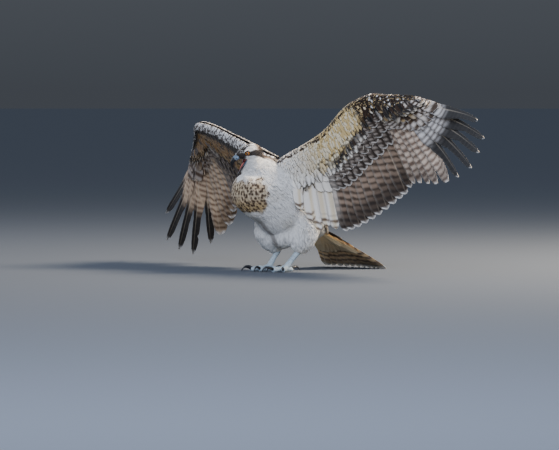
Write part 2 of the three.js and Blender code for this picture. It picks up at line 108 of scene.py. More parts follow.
def blendTo(colour, other, amount):
    # Either colour is a hex text or an array. The amount has one value for each place
    colour, other = (hexColour(c) if isinstance(c, str) else c for c in (colour, other))
    amount = np.asarray(amount, float)[..., None]
    return colour * (1 - amount) + other * amount


def plainTone(text, places):
    return np.broadcast_to(hexColour(text), places.shape)


def smooth(low, high, x):
    t = np.clip((np.asarray(x, float) - low) / (high - low), 0, 1)
    return t * t * (3 - 2 * t)


def mix(a, b, t):
    return np.asarray(a, float) * (1 - t) + np.asarray(b, float) * t


def unit(v):
    v = np.asarray(v, float)
    return v / np.maximum(np.linalg.norm(v, axis=-1, keepdims=True), 1e-9)


def softNoise(p, scale, seed=0):
    q = np.asarray(p, float) / scale + seed * 17.13
    return (
        np.sin(q[..., 0] * 1.7 + 1.3 * np.sin(q[..., 1] * 1.1))
        + np.sin(q[..., 1] * 1.9 + 1.7 * np.sin(q[..., 2] * 1.3))
        + np.sin(q[..., 2] * 2.1 + 1.1 * np.sin(q[..., 0] * 0.9))
    ) / 3


def splineAt(points, place):
    # A smooth curve through the points, whose numbers are its places
    n = len(points) - 1
    place = min(max(place, 0), n)
    k = min(int(place), n - 1)
    f = place - k
    a, b, c, d = (np.array(points[min(max(j, 0), n)], float) for j in (k - 1, k, k + 1, k + 2))
    return b + 0.5 * f * (c - a + f * (2 * a - 5 * b + 4 * c - d + f * (3 * (b - c) + d - a)))


def readAll(items, field, width=1, kind=np.float32):
    out = np.zeros(len(items) * width, kind)
    items.foreach_get(field, out)
    return out.reshape(-1, width) if width > 1 else out


def writeAll(items, field, values, kind=np.float32):
    items.foreach_set(field, np.ascontiguousarray(values, dtype=kind).ravel())


def setAttribute(mesh, name, kind, values):
    layer = mesh.attributes.new(name, kind, "POINT")
    plainKind = bool if kind == "BOOLEAN" else np.float32
    writeAll(layer.data, "vector" if kind == "FLOAT_VECTOR" else "value", values, plainKind)


def setColours(mesh, colours):
    # Feathers lying over each other look darker than one flat vane does
    deepening = 1.22
    full = np.ones((len(mesh.vertices), 4), np.float32)
    full[:, :3] = np.clip(np.asarray(colours, float).reshape(-1, 3), 0, 1) ** deepening
    writeAll(mesh.color_attributes.new("plumage", "FLOAT_COLOR", "POINT").data, "color", full)


def setMap(mesh, places):
    places = np.asarray(places, np.float32).reshape(-1, 2)
    corners = readAll(mesh.loops, "vertex_index", 1, np.int32)
    writeAll(mesh.uv_layers.new(name="OFBake").data, "uv", places[corners])


def linkNew(name, data):
    made = bpy.data.objects.new(name, data)
    bpy.context.scene.collection.objects.link(made)
    return made


def makeMesh(name, verts, faces, colours=None, places=None):
    mesh = bpy.data.meshes.new(name)
    verts = np.reshape(verts, (-1, 3))
    sizes = np.array([len(f) for f in faces])
    corners = np.concatenate(faces)
    mesh.vertices.add(len(verts))
    writeAll(mesh.vertices, "co", verts)
    mesh.loops.add(len(corners))
    writeAll(mesh.loops, "vertex_index", corners, np.int32)
    mesh.polygons.add(len(sizes))
    writeAll(mesh.polygons, "loop_start", np.cumsum(sizes) - sizes, np.int32)
    mesh.update(calc_edges=True)
    writeAll(mesh.polygons, "use_smooth", np.ones(len(sizes)), bool)
    if colours is not None:
        setColours(mesh, colours)
    if places is not None:
        setMap(mesh, places)
    return linkNew(name, mesh)


def plainMesh(source, name):
    # The evaluated shape as a plain mesh on a new object, with its modifiers gone
    graph = bpy.context.evaluated_depsgraph_get()
    graph.update()
    mesh = bpy.data.meshes.new_from_object(source.evaluated_get(graph))
    mesh.name = name
    source.modifiers.clear()
    return linkNew(name, mesh)


def ringQuads(rows, columns, looped=False):
    # Quads between closed rings of vertices. In a loop the last ring joins the first
    i, j = np.meshgrid(np.arange(rows if looped else rows - 1), np.arange(columns), indexing="ij")
    k, after = (j + 1) % columns, (i + 1) % rows * columns
    return np.stack([i * columns + j, i * columns + k, after + k, after + j], -1).reshape(-1, 4)


def ringFaces(rows, columns, flip=False):
    # The quads between the rings, with strips that close the first and the last one
    faces = [tuple(q) for q in ringQuads(rows, columns)]
    for base, turned in ((0, True), ((rows - 1) * columns, False)):
        for j in range(columns // 2 - 1):
            quad = (base + j, base + j + 1, base + columns - 2 - j, base + columns - 1 - j)
            faces.append(quad[::-1] if turned else quad)
    return [f[::-1] for f in faces] if flip else faces


shownInstead = set()


def finishPiece(piece, material, *replaced):
    piece.data.materials.clear()
    piece.data.materials.append(material)
    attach(piece, "root")
    for node in replaced:
        if node not in shownInstead:
            shownInstead.add(node)
            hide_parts(node)


# Materials
def setInputs(tree, node, inputs):
    # A value, a socket, or a node whose first output is meant
    for key, value in inputs.items():
        if isinstance(value, bpy.types.Node):
            value = value.outputs[0]
        if isinstance(value, bpy.types.NodeSocket):
            tree.links.new(value, node.inputs[key])
        else:
            node.inputs[key].default_value = value


def addNode(tree, kind, settings=None, inputs=None):
    node = tree.nodes.new(kind)
    for key, value in (settings or {}).items():
        setattr(node, key, value)
    setInputs(tree, node, inputs or {})
    return node


def newMaterial(name):
    material = bpy.data.materials.new(name)
    material.use_nodes = True
    return material, material.node_tree, material.node_tree.nodes["Principled BSDF"]


def featherMaterial(name, barbsPerMm, ridge):
    # Feather keratin: matt, with fine barbs that break up its faint sheen
    material, tree, shader = newMaterial(name)
    tone = addNode(tree, "ShaderNodeAttribute", {"attribute_name": "plumage"})
    place = addNode(tree, "ShaderNodeTexCoord")
    barbs = addNode(tree, "ShaderNodeTexNoise", None, {
        "Vector": place.outputs["Object"], "Scale": barbsPerMm / mm, "Detail": 3.0, "Roughness": 0.6})
    shade = addNode(tree, "ShaderNodeMapRange", None, {
        "Value": barbs.outputs["Fac"], "From Min": 0.3, "From Max": 0.7, "To Min": 0.86, "To Max": 1.08})
    tinted = addNode(tree, "ShaderNodeVectorMath", {"operation": "SCALE"}, {0: tone, "Scale": shade})
    setInputs(tree, shader, {
        "Base Color": tinted,
        "Normal": addNode(tree, "ShaderNodeBump", None, {
            "Height": barbs.outputs["Fac"], "Strength": 0.35, "Distance": ridge * mm}),
        "Roughness": 0.72,
        "Specular IOR Level": 0.25,
        "Sheen Weight": 0.15,
        "Sheen Roughness": 0.5,
    })
    return material


def hornMaterial(name, colour, otherColour, grainsPerMm, rough):
    # Claw horn: dense keratin, nearly black and softly shiny
    material, tree, shader = newMaterial(name)
    place = addNode(tree, "ShaderNodeTexCoord")
    grain = addNode(tree, "ShaderNodeTexNoise", None, {
        "Vector": place.outputs["Object"], "Scale": grainsPerMm / mm, "Detail": 4.0})
    tone = addNode(tree, "ShaderNodeMix", {"data_type": "RGBA"}, {"Factor": grain.outputs["Fac"]})
    for label, text in (("A", colour), ("B", otherColour)):
        socket = next(s for s in tone.inputs if s.type == "RGBA" and s.name == label)
        socket.default_value = (*hexColour(text), 1)
    setInputs(tree, shader, {
        "Base Color": next(s for s in tone.outputs if s.type == "RGBA"),
        "Normal": addNode(tree, "ShaderNodeBump", None, {
            "Height": grain.outputs["Fac"], "Strength": 0.1, "Distance": 0.2 * mm}),
        "Roughness": rough,
    })
    return material


def skinMaterial(name, rough, cellsPerMm, strength, depth, wet=0.0):
    # Bare skin and horn in their painted tones, with small cells in relief. A wet coat makes them gleam
    material, tree, shader = newMaterial(name)
    place = addNode(tree, "ShaderNodeTexCoord")
    cells = addNode(tree, "ShaderNodeTexVoronoi", None, {
        "Vector": place.outputs["Object"], "Scale": cellsPerMm / mm})
    setInputs(tree, shader, {
        "Base Color": addNode(tree, "ShaderNodeAttribute", {"attribute_name": "plumage"}),
        "Normal": addNode(tree, "ShaderNodeBump", None, {
            "Height": cells.outputs["Distance"], "Strength": strength, "Distance": depth * mm}),
        "Roughness": rough,
        "Coat Weight": wet,
        "Coat Roughness": 0.06,
    })
    return material


flightMaterial = featherMaterial("Feather keratin, flight vanes", 0.9, 0.4)
plumeMaterial = featherMaterial("Feather keratin, body plumes", 1.4, 0.3)
hornBlack = hornMaterial("Claw horn, polished by wear", "14151a", "23242a", 0.26, 0.3)
billMaterial = skinMaterial("Bill horn and waxy cere", 0.34, 0.9, 0.05, 0.1)
mouthMaterial = skinMaterial("Moist mouth lining", 0.3, 0.9, 0.2, 0.2, wet=0.4)
scaleMaterial = skinMaterial("Scaly foot skin", 0.55, 0.52, 0.9, 0.7)
eyeMaterial = skinMaterial("Cornea over iris", 0.3, 0.3, 0.0, 0.1, wet=0.7)
print("materials done")

# Wings: joints of the arm, reach of the leading edge at each station, and tips of chosen feathers
wings = {
    "left": {
        "side": 1,
        "turned": 0.0,
        "shoulder": (40, -21, 270),
        "elbow": (154, 41, 316),
        "wrist": (268, 64, 445),
        "fingerEnd": (410, 79, 447),
        "lead": [30, 32, 20, 18, 30, 17, 13, 9, 4],
        "tips": {
            0: (725, 9, 396), 1: (735, 22, 352), 2: (714, 24, 317), 3: (672, 38, 278),
            4: (608, 53, 254), 6: (493, 87, 236), 9: (354, 135, 232), 11: (309, 146, 204),
            16: (230, 104, 139), 20: (163, 72, 107), 22: (114, 52, 118), 23: (96, 42, 106),
            24: (86, 22, 130), 25: (78, -12, 162),
        },
    },
    "right": {
        "side": -1,
        "turned": 0.7,
        "shoulder": (-40, -21, 270),
        "elbow": (-176, 2, 284),
        "wrist": (-324, -20, 368),
        "fingerEnd": (-427, 47, 314),
        "lead": [34, 40, 44, 44, 38, 18, 12, 8, 4],
        "tips": {
            0: (-693, 155, 131), 1: (-652, 125, 58), 2: (-608, 132, 34), 3: (-540, 126, 23),
            4: (-481, 141, 54), 6: (-398, 138, 106), 9: (-332, 106, 156), 11: (-293, 100, 148),
            16: (-206, 102, 118), 20: (-138, 92, 96), 22: (-104, 64, 112), 23: (-92, 44, 118),
            24: (-84, 14, 138), 25: (-78, -16, 166),
        },
    },
}
wingSettings = {
    "feathers": 26,
    "primaries": 10,
    "fingers": 5,
    "tilt": 7.0,  # each vane leans like a slat, outer edge up
    "bow": (0.045, 0.035),  # of a primary and of a feather of the arm, as a share of its length
    "facing": (0.766, -0.643, 0.0),  # where the right wing's fingers show their undersides
}
vaneSettings = {
    "rows": 44,
    "thickness": 0.5,
    "across": (-1, -0.72, -0.4, -0.12, -0.035, 0.035, 0.15, 0.55, 1.0),  # inner edge to outer edge
    "shaftReach": 0.1,
    "shaftHeight": 0.55,
    "nickDepth": 0.16,
    "nickLength": 0.012,
    "sweep": 0.10,
}
# Outlines of the vanes: share of the length, inner half width and outer half width for a width of 1
vaneOutlines = {
    "round": [(0, 0.06, 0.05), (0.08, 0.14, 0.1), (0.16, 0.34, 0.22), (0.5, 0.66, 0.38), (0.82, 0.63, 0.37),
              (0.93, 0.54, 0.32), (0.975, 0.36, 0.22), (1, 0.06, 0.05)],
    "finger": [(0, 0.06, 0.05), (0.1, 0.2, 0.12), (0.2, 0.44, 0.2), (0.46, 0.66, 0.26), (0.6, 0.5, 0.2),
               (0.7, 0.35, 0.165), (0.9, 0.3, 0.15), (0.965, 0.19, 0.1), (1, 0.03, 0.02)],
    "tail": [(0, 0.06, 0.05), (0.08, 0.14, 0.1), (0.2, 0.34, 0.24), (0.6, 0.58, 0.38), (0.86, 0.54, 0.38),
             (0.93, 0.46, 0.34), (0.975, 0.26, 0.22), (1, 0.04, 0.04)],
}


def rootAt(wing, i):
    # Feather 0 is the outermost. The roots run along the hand, the forearm and the upper arm
    if i <= 9:
        return mix(wing["fingerEnd"], wing["wrist"], i / 9 * 0.94)
    if i <= 19:
        return mix(wing["wrist"], wing["elbow"], 0.03 + (i - 10) / 9 * 0.97)
    return mix(wing["elbow"], wing["shoulder"], (i - 19) / 6 * 0.8)


def tipAt(wing, i):
    places = list(wing["tips"])
    i = min(max(i, 0), places[-1])
    k = max(1, next(n for n, p in enumerate(places) if p >= i))
    f = (i - places[k - 1]) / (places[k] - places[k - 1])
    return splineAt(list(wing["tips"].values()), k - 1 + f)


def featherFrame(wing, i):
    root, tip = rootAt(wing, i), tipAt(wing, i)
    last = wingSettings["feathers"] - 1
    length = np.linalg.norm(tip - root)
    along = (tip - root) / length

    def outward(at):
        d = at(wing, max(i - 0.7, 0)) - at(wing, min(i + 0.7, last))
        return unit(d - along * d.dot(along))

    primary = i < wingSettings["primaries"] - 0.5
    acrossTip = outward(tipAt)
    acrossRoot = unit(mix(outward(rootAt), acrossTip, 0.35))
    if wing["turned"]:
        # The spread fingers are rolled to show their undersides to the front left
        rolled = unit(np.cross(along, wingSettings["facing"]))
        rolled = rolled * np.sign(rolled.dot(acrossTip) + 1e-6)
        share = wing["turned"] * float(smooth(10.5, 7, i))
        acrossTip = unit(mix(acrossTip, rolled, share))
        acrossRoot = unit(mix(acrossRoot, rolled, 0.5 * share))
    return {
        "index": i,
        "primary": primary,
        "root": root,
        "along": along,
        "length": length,
        "acrossRoot": acrossRoot,
        "acrossTip": acrossTip,
        "side": wing["side"],
        "tilt": math.radians(wingSettings["tilt"]),
        "bow": wingSettings["bow"][0 if primary else 1],
        "width": 46 - 1.6 * abs(i - 4) if primary else (38 if i < 20 else 30),
    }


def outlineAt(outline, t, column):
    points = np.array(vaneOutlines[outline])
    return np.interp(t, points[:, 0], points[:, column])


def featherSheet(
    f, outline, rng, start, end=None, width=None, lift=(0, 0), rows=vaneSettings["rows"], cup=0.05
):
    # A closed thin vane in rings. Returns places, t along, s across and the face, 1 above and -1 below
    end = f["length"] if end is None else end
    width = f["width"] if width is None else width
    t = np.linspace(0, 1, rows) ** 0.92
    s = np.array(vaneSettings["across"])
    run = start + (end - start) * t
    share = np.clip(run / f["length"], 0, 1)
    across = mix(f["acrossRoot"], f["acrossTip"], share[:, None])
    across = unit(across - (across @ f["along"])[:, None] * f["along"])
    dorsal = np.cross(across, f["along"]) * f["side"]
    slat = across * math.cos(f["tilt"]) + dorsal * math.sin(f["tilt"])
    up = np.cross(slat, f["along"]) * f["side"]
    rise = 4 * f["bow"] * f["length"] * share * (1 - share) + (lift[0] + (lift[1] - lift[0]) * t)
    spine = f["root"] + run[:, None] * f["along"] + dorsal * rise[:, None]
    # A few splits in the vane's edges
    nick = np.ones((rows, 2))
    nickDepth, nickLength = vaneSettings["nickDepth"], vaneSettings["nickLength"]
    for edge in (0, 1):
        for place in rng.uniform(0.3, 0.97, rng.integers(1, 4)):
            nick[:, edge] -= nickDepth * np.exp(-(((t - place) / nickLength) ** 2))
    halves = np.stack([outlineAt(outline, t, 1), outlineAt(outline, t, 2)], -1) * width * nick
    reach = np.where(s[None] < 0, halves[:, :1], halves[:, 1:]) * s
    # The vane sweeps towards its tip away from the shaft, and cups a little
    sweep = -np.abs(s) ** 1.5 * width * vaneSettings["sweep"] * np.sin(np.pi * t)[:, None]
    sag = s**2 * width * cup * (0.3 + 0.7 * t[:, None])
    places = (
        spine[:, None, :]
        + reach[..., None] * slat[:, None, :]
        + sweep[..., None] * f["along"]
        - sag[..., None] * up[:, None, :]
    )
    shaft = (np.abs(s) < vaneSettings["shaftReach"]) * vaneSettings["shaftHeight"] * (1 - 0.7 * t[:, None])
    half = vaneSettings["thickness"] / 2
    top = places + (half + shaft * 0.5)[..., None] * up[:, None, :]
    bottom = places - (half + shaft)[..., None] * up[:, None, :]
    # One ring per row: along the top, then back along the bottom
    ring = np.concatenate([top, bottom[:, ::-1]], 1)
    around = np.concatenate([s, s[::-1]])
    face = np.repeat([1.0, -1.0], len(s))
    return (ring, *np.broadcast_arrays(t[:, None], around[None], face[None]))


def newSheaf():
    return {"places": [], "colours": [], "faces": [], "count": 0}


def addSheets(sheaf, f, sheets, rng):
    # Paints each vane of a feather and adds it to its sheaf
    for (ring, t, s, face), paint in sheets:
        sheaf["places"].append(ring.reshape(-1, 3))
        sheaf["colours"].append(paint(f, t, s, face, rng).reshape(-1, 3))
        quads = ringFaces(*t.shape, flip=f["side"] > 0)
        sheaf["faces"] += [tuple(v + sheaf["count"] for v in q) for q in quads]
        sheaf["count"] += t.size


def finishSheaf(sheaf, name, node):
    places, colours = np.concatenate(sheaf["places"]), np.concatenate(sheaf["colours"])
    finishPiece(makeMesh(name, toFrame(places), sheaf["faces"], colours), flightMaterial, node)


def bars(distance, spacing, wide, wobble):
    # 1 inside a bar, 0 between, for bars that repeat along the feather
    phase = np.mod(distance + wobble, spacing) / spacing
    return smooth(0, 0.12, phase) * (1 - smooth(wide, wide + 0.14, phase))


flightTones = {
    # the underside's ground, its bars and its dusky end
    "finger": ("e0dcd8", "6a5f57", "33261c"),
    # the inner primaries: a pale ground, lightened further as painted light
    "inner": ("e8d5c2", "6a4f3c", "33261c"),
    # the right hand: browner, and darker as painted shade
    "paintedShade": ("dcc3a6", "75553c", "33261c"),
    "arm": ("a08c7a", "3f3125", "2a2019"),
}


def flightColour(f, t, s, face, rng):
    i = f["index"]
    finger, hand = i < wingSettings["fingers"], i < wingSettings["primaries"]
    chance = rng.uniform(-1, 1)
    # The right hand is browner, and darker as painted shade
    kind = "arm" if not hand else "paintedShade" if f["side"] < 0 else "finger" if finger else "inner"
    ground, barTone, dusk = flightTones[kind]
    bar = bars(t * f["length"], 17.0 + 1.5 * chance, 0.42, 3.3 * np.abs(s) + 1.2 * np.sin(s * 3 + i))
    under = blendTo(ground, barTone, bar * 0.85)
    if finger:
        start = (0.38 if f["side"] > 0 else 0.52) + 0.02 * i
        under = blendTo(under, "100d0b", smooth(start, start + 0.14, t + 0.05 * (s > 0)) * 0.96)
    elif hand:
        under = blendTo(under, dusk, smooth(0.72, 0.93, t) * 0.5)
    else:
        under = blendTo(under, dusk, smooth(0.66, 0.9, t) * 0.78)
    tipWhite = smooth(0.975, 0.988, t + 0.012 * s**2)
    under = blendTo(under, "f3efe8", tipWhite * (0.55 if finger else 0.95))
    if i > 17.5:
        # The long feathers of the armpit: buff white, with brown spots near their ends
        soft = blendTo("f0ebe2", "dcc79c", smooth(-0.1, 0.7, np.sin(s * 4 + i * 1.3)) * 0.6)
        soft = blendTo(soft, "5a4028", bar * smooth(0.8, 0.88, t) * 0.85)
        under = blendTo(under, soft, smooth(19.2, 20.6, i + 0.6 - 1.3 * t))
    # Upper side: dark brown with a pale tip
    over = blendTo(blendTo("3c2d21", "2b221c", bar * 0.6), "e6dccb", tipWhite * 0.9)
    colour = blendTo(under, over, face > 0)
    edge = smooth(0.9, 1.0, np.abs(s)) * (0.25 if finger else 0.5) * (1 - smooth(0.8, 0.95, t) * 0.5)
    colour = blendTo(colour, "e9e1d6", edge * (0.08 if finger else 0.45))
    shaft = (np.abs(s) < vaneSettings["shaftReach"]) * (1 - 0.6 * smooth(0.6, 1, t)) * 0.35
    return blendTo(colour, blendTo("d8cbb6", "241c16", face > 0), shaft)


def wingStations(wing):
    # The wing's own skin, from its blunt leading edge to the roots, and on to the first finger
    s, e, w, h = (np.array(wing[k], float) for k in ("shoulder", "elbow", "wrist", "fingerEnd"))
    fold = mix(s, w, 0.5)
    inside = s + np.array([-wing["side"] * 18, 6, -6])
    last = h + featherFrame(wing, 0)["along"] * 14
    # front and back of the skin, reach behind the back, thickness, feather that gives the direction
    table = [
        (inside, inside, 30, 46, 24), (s, s, 32, 44, 23), (mix(s, fold, 0.62), mix(s, e, 0.62), 24, 36, 21),
        (fold, e, 17, 30, 16), (mix(fold, w, 0.55), mix(e, w, 0.55), 16, 26, 14), (w, w, 17, 22, 10),
        (mix(w, h, 0.4), mix(w, h, 0.4), 17, 17, 5), (h, h, 13, 11, 1), (last, last, 6, 6, 0),
    ]
    out = []
    for k, (front, back, trail, thick, like) in enumerate(table):
        before, after = table[max(k - 1, 0)], table[min(k + 1, len(table) - 1)]
        span = unit(after[0] + after[1] - before[0] - before[1])
        along = featherFrame(wing, like)["along"]
        chord = unit(along - 0.8 * along.dot(span) * span)
        up = unit(np.cross(span, chord) * wing["side"])
        out.append(np.concatenate([front - chord * wing["lead"][k], back + chord * trail, up, [thick]]))
    return out


# Which feather belongs to each station
featherAtStation = ([0, 1, 2, 3, 4, 5, 6, 7, 8], [28, 26.5, 21.85, 19, 13.9, 9.7, 5.74, 0, -1])


def wingSkin(stations, k, r, face):
    # A place on the wing's skin: k along the stations, r from the leading edge (0) to the roots (1)
    k, r = np.broadcast_arrays(np.asarray(k, float), np.asarray(r, float))
    row = np.stack([splineAt(stations, float(v)) for v in k.ravel()]).reshape(k.shape + (10,))
    nose, rear, up, thick = row[..., 0:3], row[..., 3:6], unit(row[..., 6:9]), row[..., 9]
    turn = np.arccos(np.clip(1 - 2 * r, -1, 1))
    depth = np.sin(turn) * (thick / 2) * (1.25 - 0.7 * r) * 0.94
    return nose + (rear - nose) * r[..., None] + up * (depth * face)[..., None]


def plumes(root, along, normal, length, width, rng, droop, lift, camber, rows=5, outline="round"):
    # Many small closed feathers at once. Each has a ridge along its middle and two edges
    n = len(root)
    t = np.linspace(0, 1, rows)
    if outline == "round":
        belly = np.sqrt(np.clip(1 - (2 * np.clip(t, 0.22, 1) - 0.75) ** 2 / 1.6, 0.02, 1))
        w = belly * np.where(t < 0.2, 0.45 + 2.7 * t, 1)
        w[-1] = 0.3
    else:
        w = (0.4 + 1.2 * t) * (1 - t) ** 0.6 + 0.02
        w[-1] = 0.04
    across = unit(np.cross(along, normal))
    length = np.broadcast_to(length, n)[:, None, None]
    width = np.broadcast_to(width, n)[:, None, None]
    run, wide = t[None, :, None], w[None, :, None]
    rise = lift * run - droop * run**2 + 0.02
    spine = root[:, None] + along[:, None] * (length * run) + normal[:, None] * (length * rise)
    bend = rng.normal(0, 0.06, n)[:, None, None] * run**2 * length
    spine = spine + across[:, None] * bend
    reach = across[:, None] * (width / 2 * wide)
    ridge = normal[:, None] * (width * camber * wide)
    verts = np.stack([spine - reach, spine + ridge, spine + reach], 2)
    faces = (ringQuads(rows, 3)[None] + (np.arange(n) * rows * 3)[:, None, None]).reshape(-1, 4)
    ts = np.broadcast_to(run, (n, rows, 3))
    ss = np.broadcast_to(np.array([-1, 0, 1.0]), (n, rows, 3))
    return verts, faces, ts, ss


def patchOf(t, s):
    # The small part of the map that one plume takes up
    return np.stack([s * 0.0015, (t - 0.5) * 0.003], -1)


coverts = {
    # share of the way from leading edge to the roots, length, width, spacing
    "Under": [(0.001, 8, 6, 3.2), (0.008, 9, 6, 3.2), (0.02, 9, 6, 3.2), (0.07, 11, 7, 3.6),
              (0.13, 13, 8, 4.4), (0.2, 15, 9, 5), (0.28, 17, 10, 5.4), (0.36, 19, 11, 6),
              (0.45, 22, 12, 6.6), (0.54, 25, 13, 7.2), (0.64, 27, 14, 8), (0.74, 31, 16, 8.6),
              (0.84, 36, 18, 9.4), (0.93, 42, 20, 10)],
    "Upper": [(0.003, 9, 6, 3.2), (0.02, 9, 6, 3.2), (0.08, 11, 7, 3.8), (0.15, 13, 9, 4.6),
              (0.24, 16, 10, 5.4), (0.34, 19, 12, 6.4), (0.45, 23, 13, 7.4), (0.57, 28, 15, 8.4),
              (0.7, 34, 17, 9.6), (0.82, 42, 19, 10.6), (0.93, 52, 21, 11.6)],
}
# Length as a share of the flight feather on arm and hand, width, lift at root and tip.
# Three rows lie below the vanes and one above
longCoverts = [
    (0.5, 0.36, 30, (-3.2, -4.4)),
    (0.36, 0.25, 28, (-4.8, -6.2)),
    (0.23, 0.15, 26, (-6.2, -7.8)),
    (0.46, 0.36, 28, (3.2, 4.0)),
]


def covertLayout(wing, stations, face, rows, rng):
    # Rows of coverts from the leading edge back, each row longer than the last
    groups = []
    table = np.linspace(0.03, 7.9, 96)
    last = wingSettings["feathers"] - 1

    def skinAt(k, r):
        return wingSkin(stations, k, r, face)

    for r, length, width, spacing in rows:
        line = skinAt(table, r)
        steps = np.concatenate([[0], np.cumsum(np.linalg.norm(np.diff(line, axis=0), axis=1))])
        count = max(3, int(steps[-1] / spacing))
        way = np.linspace(0, steps[-1], count) + rng.normal(0, spacing * 0.16, count)
        k = np.interp(way, steps, table)
        rr = np.clip(r + rng.normal(0, 0.012, count), 0.005, 1.0)
        back = unit(skinAt(k, np.clip(rr + 0.05, 0, 1)) - skinAt(k, np.clip(rr - 0.05, 0, 1)))
        outward = unit(skinAt(k + 0.05, rr) - skinAt(k - 0.05, rr))
        normal = unit(np.cross(outward, back)) * wing["side"] * face
        near = np.clip(np.interp(k, *featherAtStation), 0, last)
        ownWay = np.array([featherFrame(wing, v)["along"] for v in near])
        flow = unit(mix(back, ownWay, 0.25 + 0.75 * r))
        flow = unit(flow - normal * (flow * normal).sum(1)[:, None] * (1 - r))
        groups.append({
            "root": skinAt(k, rr),
            "along": flow,
            "normal": unit(normal - flow * (flow * normal).sum(1)[:, None]),
            "length": length * rng.uniform(0.88, 1.1, count),
            "width": width * rng.uniform(0.9, 1.08, count),
            "row": np.full(count, r),
            "k": k,
        })
    return {key: np.concatenate([g[key] for g in groups]) for key in groups[0]}


def covertColour(wing, data, ts, ss, face, rng):
    # Markings by row, place along the wing and place on the feather
    chance = rng.random(len(data["k"]))
    chance, r, k = (np.broadcast_to(v[:, None, None], ts.shape) for v in (chance, data["row"], data["k"]))
    ss = np.abs(ss)
    brown, black = "43301f", "1b1511"
    if face > 0:
        colour = blendTo("43352a", "2a211a", 0.5 * (chance > 0.5))
        colour = blendTo(colour, "e9dfce", smooth(0.78, 0.92, ts + 0.06 * ss) * 0.9)
        if wing["side"] < 0:
            # Its fore edge is mottled with white
            mottle = smooth(0.5, 0.2, r) * (chance > 0.35) * smooth(0.2, 0.5, ts)
            colour = blendTo(colour, "e8e4df", mottle * 0.85)
        return colour
    if wing["side"] < 0:
        # In darker tones as painted shade: a white-mottled edge, a black band, then brown and buff mottling
        colour = blendTo("a07f52", "453321", (chance > 0.55) * 0.95)
        colour = blendTo(colour, "cdb184", smooth(0.55, 0.75, ts) * (chance > 0.3) * 0.75)
        colour = blendTo(colour, black, (r > 0.1) * smooth(0.42, 0.3, r) * 0.92)
        return blendTo(colour, blendTo("e4e1dc", brown, (chance > 0.55) * 0.8), smooth(0.19, 0.12, r))
    # Golden-buff patagium, white near the body
    creamy = smooth(5.0, 4.3, k) * smooth(0.8, 2.6, k) * smooth(0.98, 0.8, r)
    colour = blendTo("efece6", blendTo("dcc592", "ebdfc2", chance > 0.5), creamy)
    colour = blendTo(colour, "b08c55", creamy * smooth(0.4, 0.1, ts) * 0.5)
    # Black dashes along the leading edge, rows of dark spots at the patagium's lower border
    dash = (r < 0.1) * (chance > 0.4) * smooth(0.25, 0.4, ts)
    border = smooth(4.6, 4.2, k) * (np.abs(r - 0.71) < 0.12) * (k > 1.9) * (chance > 0.25)
    spots = border * smooth(0.62, 0.7, ts) * smooth(0.95, 0.7, ss)
    colour = blendTo(colour, brown, np.maximum(dash, spots) * 0.95)
    hind = (r > 0.82) * smooth(2.3, 3.0, k) * smooth(0.86, 0.76, ts)
    colour = blendTo(colour, "4a3c31", hind * (0.6 + 0.4 * (chance > 0.3)))
    # The carpal patch: dark brown with cream mottling
    patch = smooth(4.0, 4.4, k) * smooth(8.5, 7.6, k + 0.8 * r)
    dark = blendTo(brown, black, chance > 0.6)
    dark = blendTo(dark, "cfb68a", smooth(0.72, 0.9, ts) * (chance > 0.55) * 0.8)
    return blendTo(colour, dark, patch * (chance > 0.1))


def greaterColour(f, t, s, face, rng, cover):
    arm, white = f["index"] >= 9.5, "f1ece4"
    over = blendTo("3f3229", white, smooth(0.93, 0.97, t) * 0.85)
    # Chequered: dark down the middle, with a pale spot on either edge at each step
    step = bars(t * f["length"], 21 + rng.uniform(-3, 3), 0.52, 3 * np.abs(s))
    light = (1 - step) * (smooth(0.16, 0.5, np.abs(s)) if arm else 1.0)
    under = blendTo("40352c" if arm else "54422f", "a89d92" if arm else "ddd4ca", light * 0.92)
    tipTone = white
    if not arm and cover < 0.3:
        # The short rows of the hand carry on the dark patch at the wrist
        fleck = smooth(0.3, 0.7, np.sin(t * 9 + f["index"] * 2.3) * np.abs(s) + 0.2)
        under = blendTo(under, blendTo("43301f", "cfb68a", fleck * 0.7), smooth(1.5, 4, f["index"]))
        tipTone = "d9c6a2"
    # The right wing is browner, and darker as painted shade
    if f["side"] < 0:
        under = blendTo(under, "6b4f36", 0.45)
        tipTone = "c9b394"
    under = blendTo(under, tipTone, smooth(0.955, 0.975, t + 0.02 * s**2) * 0.9)
    under = blendTo(under, "efe9de", smooth(19.6, 21, f["index"]) * 0.95)
    return blendTo(under, over, face > 0)


def addFlight(name, wing, rng):
    split = wingSettings["primaries"]
    for part, chosen in (("Hand", range(split)), ("Arm", range(split, wingSettings["feathers"]))):
        sheaf = newSheaf()
        for i in chosen:
            f = featherFrame(wing, i)
            f["tilt"] += rng.normal(0, 0.02)
            outline = "finger" if i < wingSettings["fingers"] else "round"
            sheets = [(featherSheet(f, outline, rng, -6), flightColour)]
            # The innermost feathers have no greater coverts
            for arm, hand, width, lift in longCoverts if i <= 22 else []:
                reach = f["length"] * (hand if f["primary"] else arm) * rng.uniform(0.96, 1.04)
                sheet = featherSheet(f, "round", rng, -4, reach, width, lift, 20)
                sheets.append((sheet, lambda *at, cover=hand: greaterColour(*at, cover)))
            addSheets(sheaf, f, sheets, rng)
        finishSheaf(sheaf, f"flight{name}{part}", f"wing_{name.lower()}_{part.lower()}")


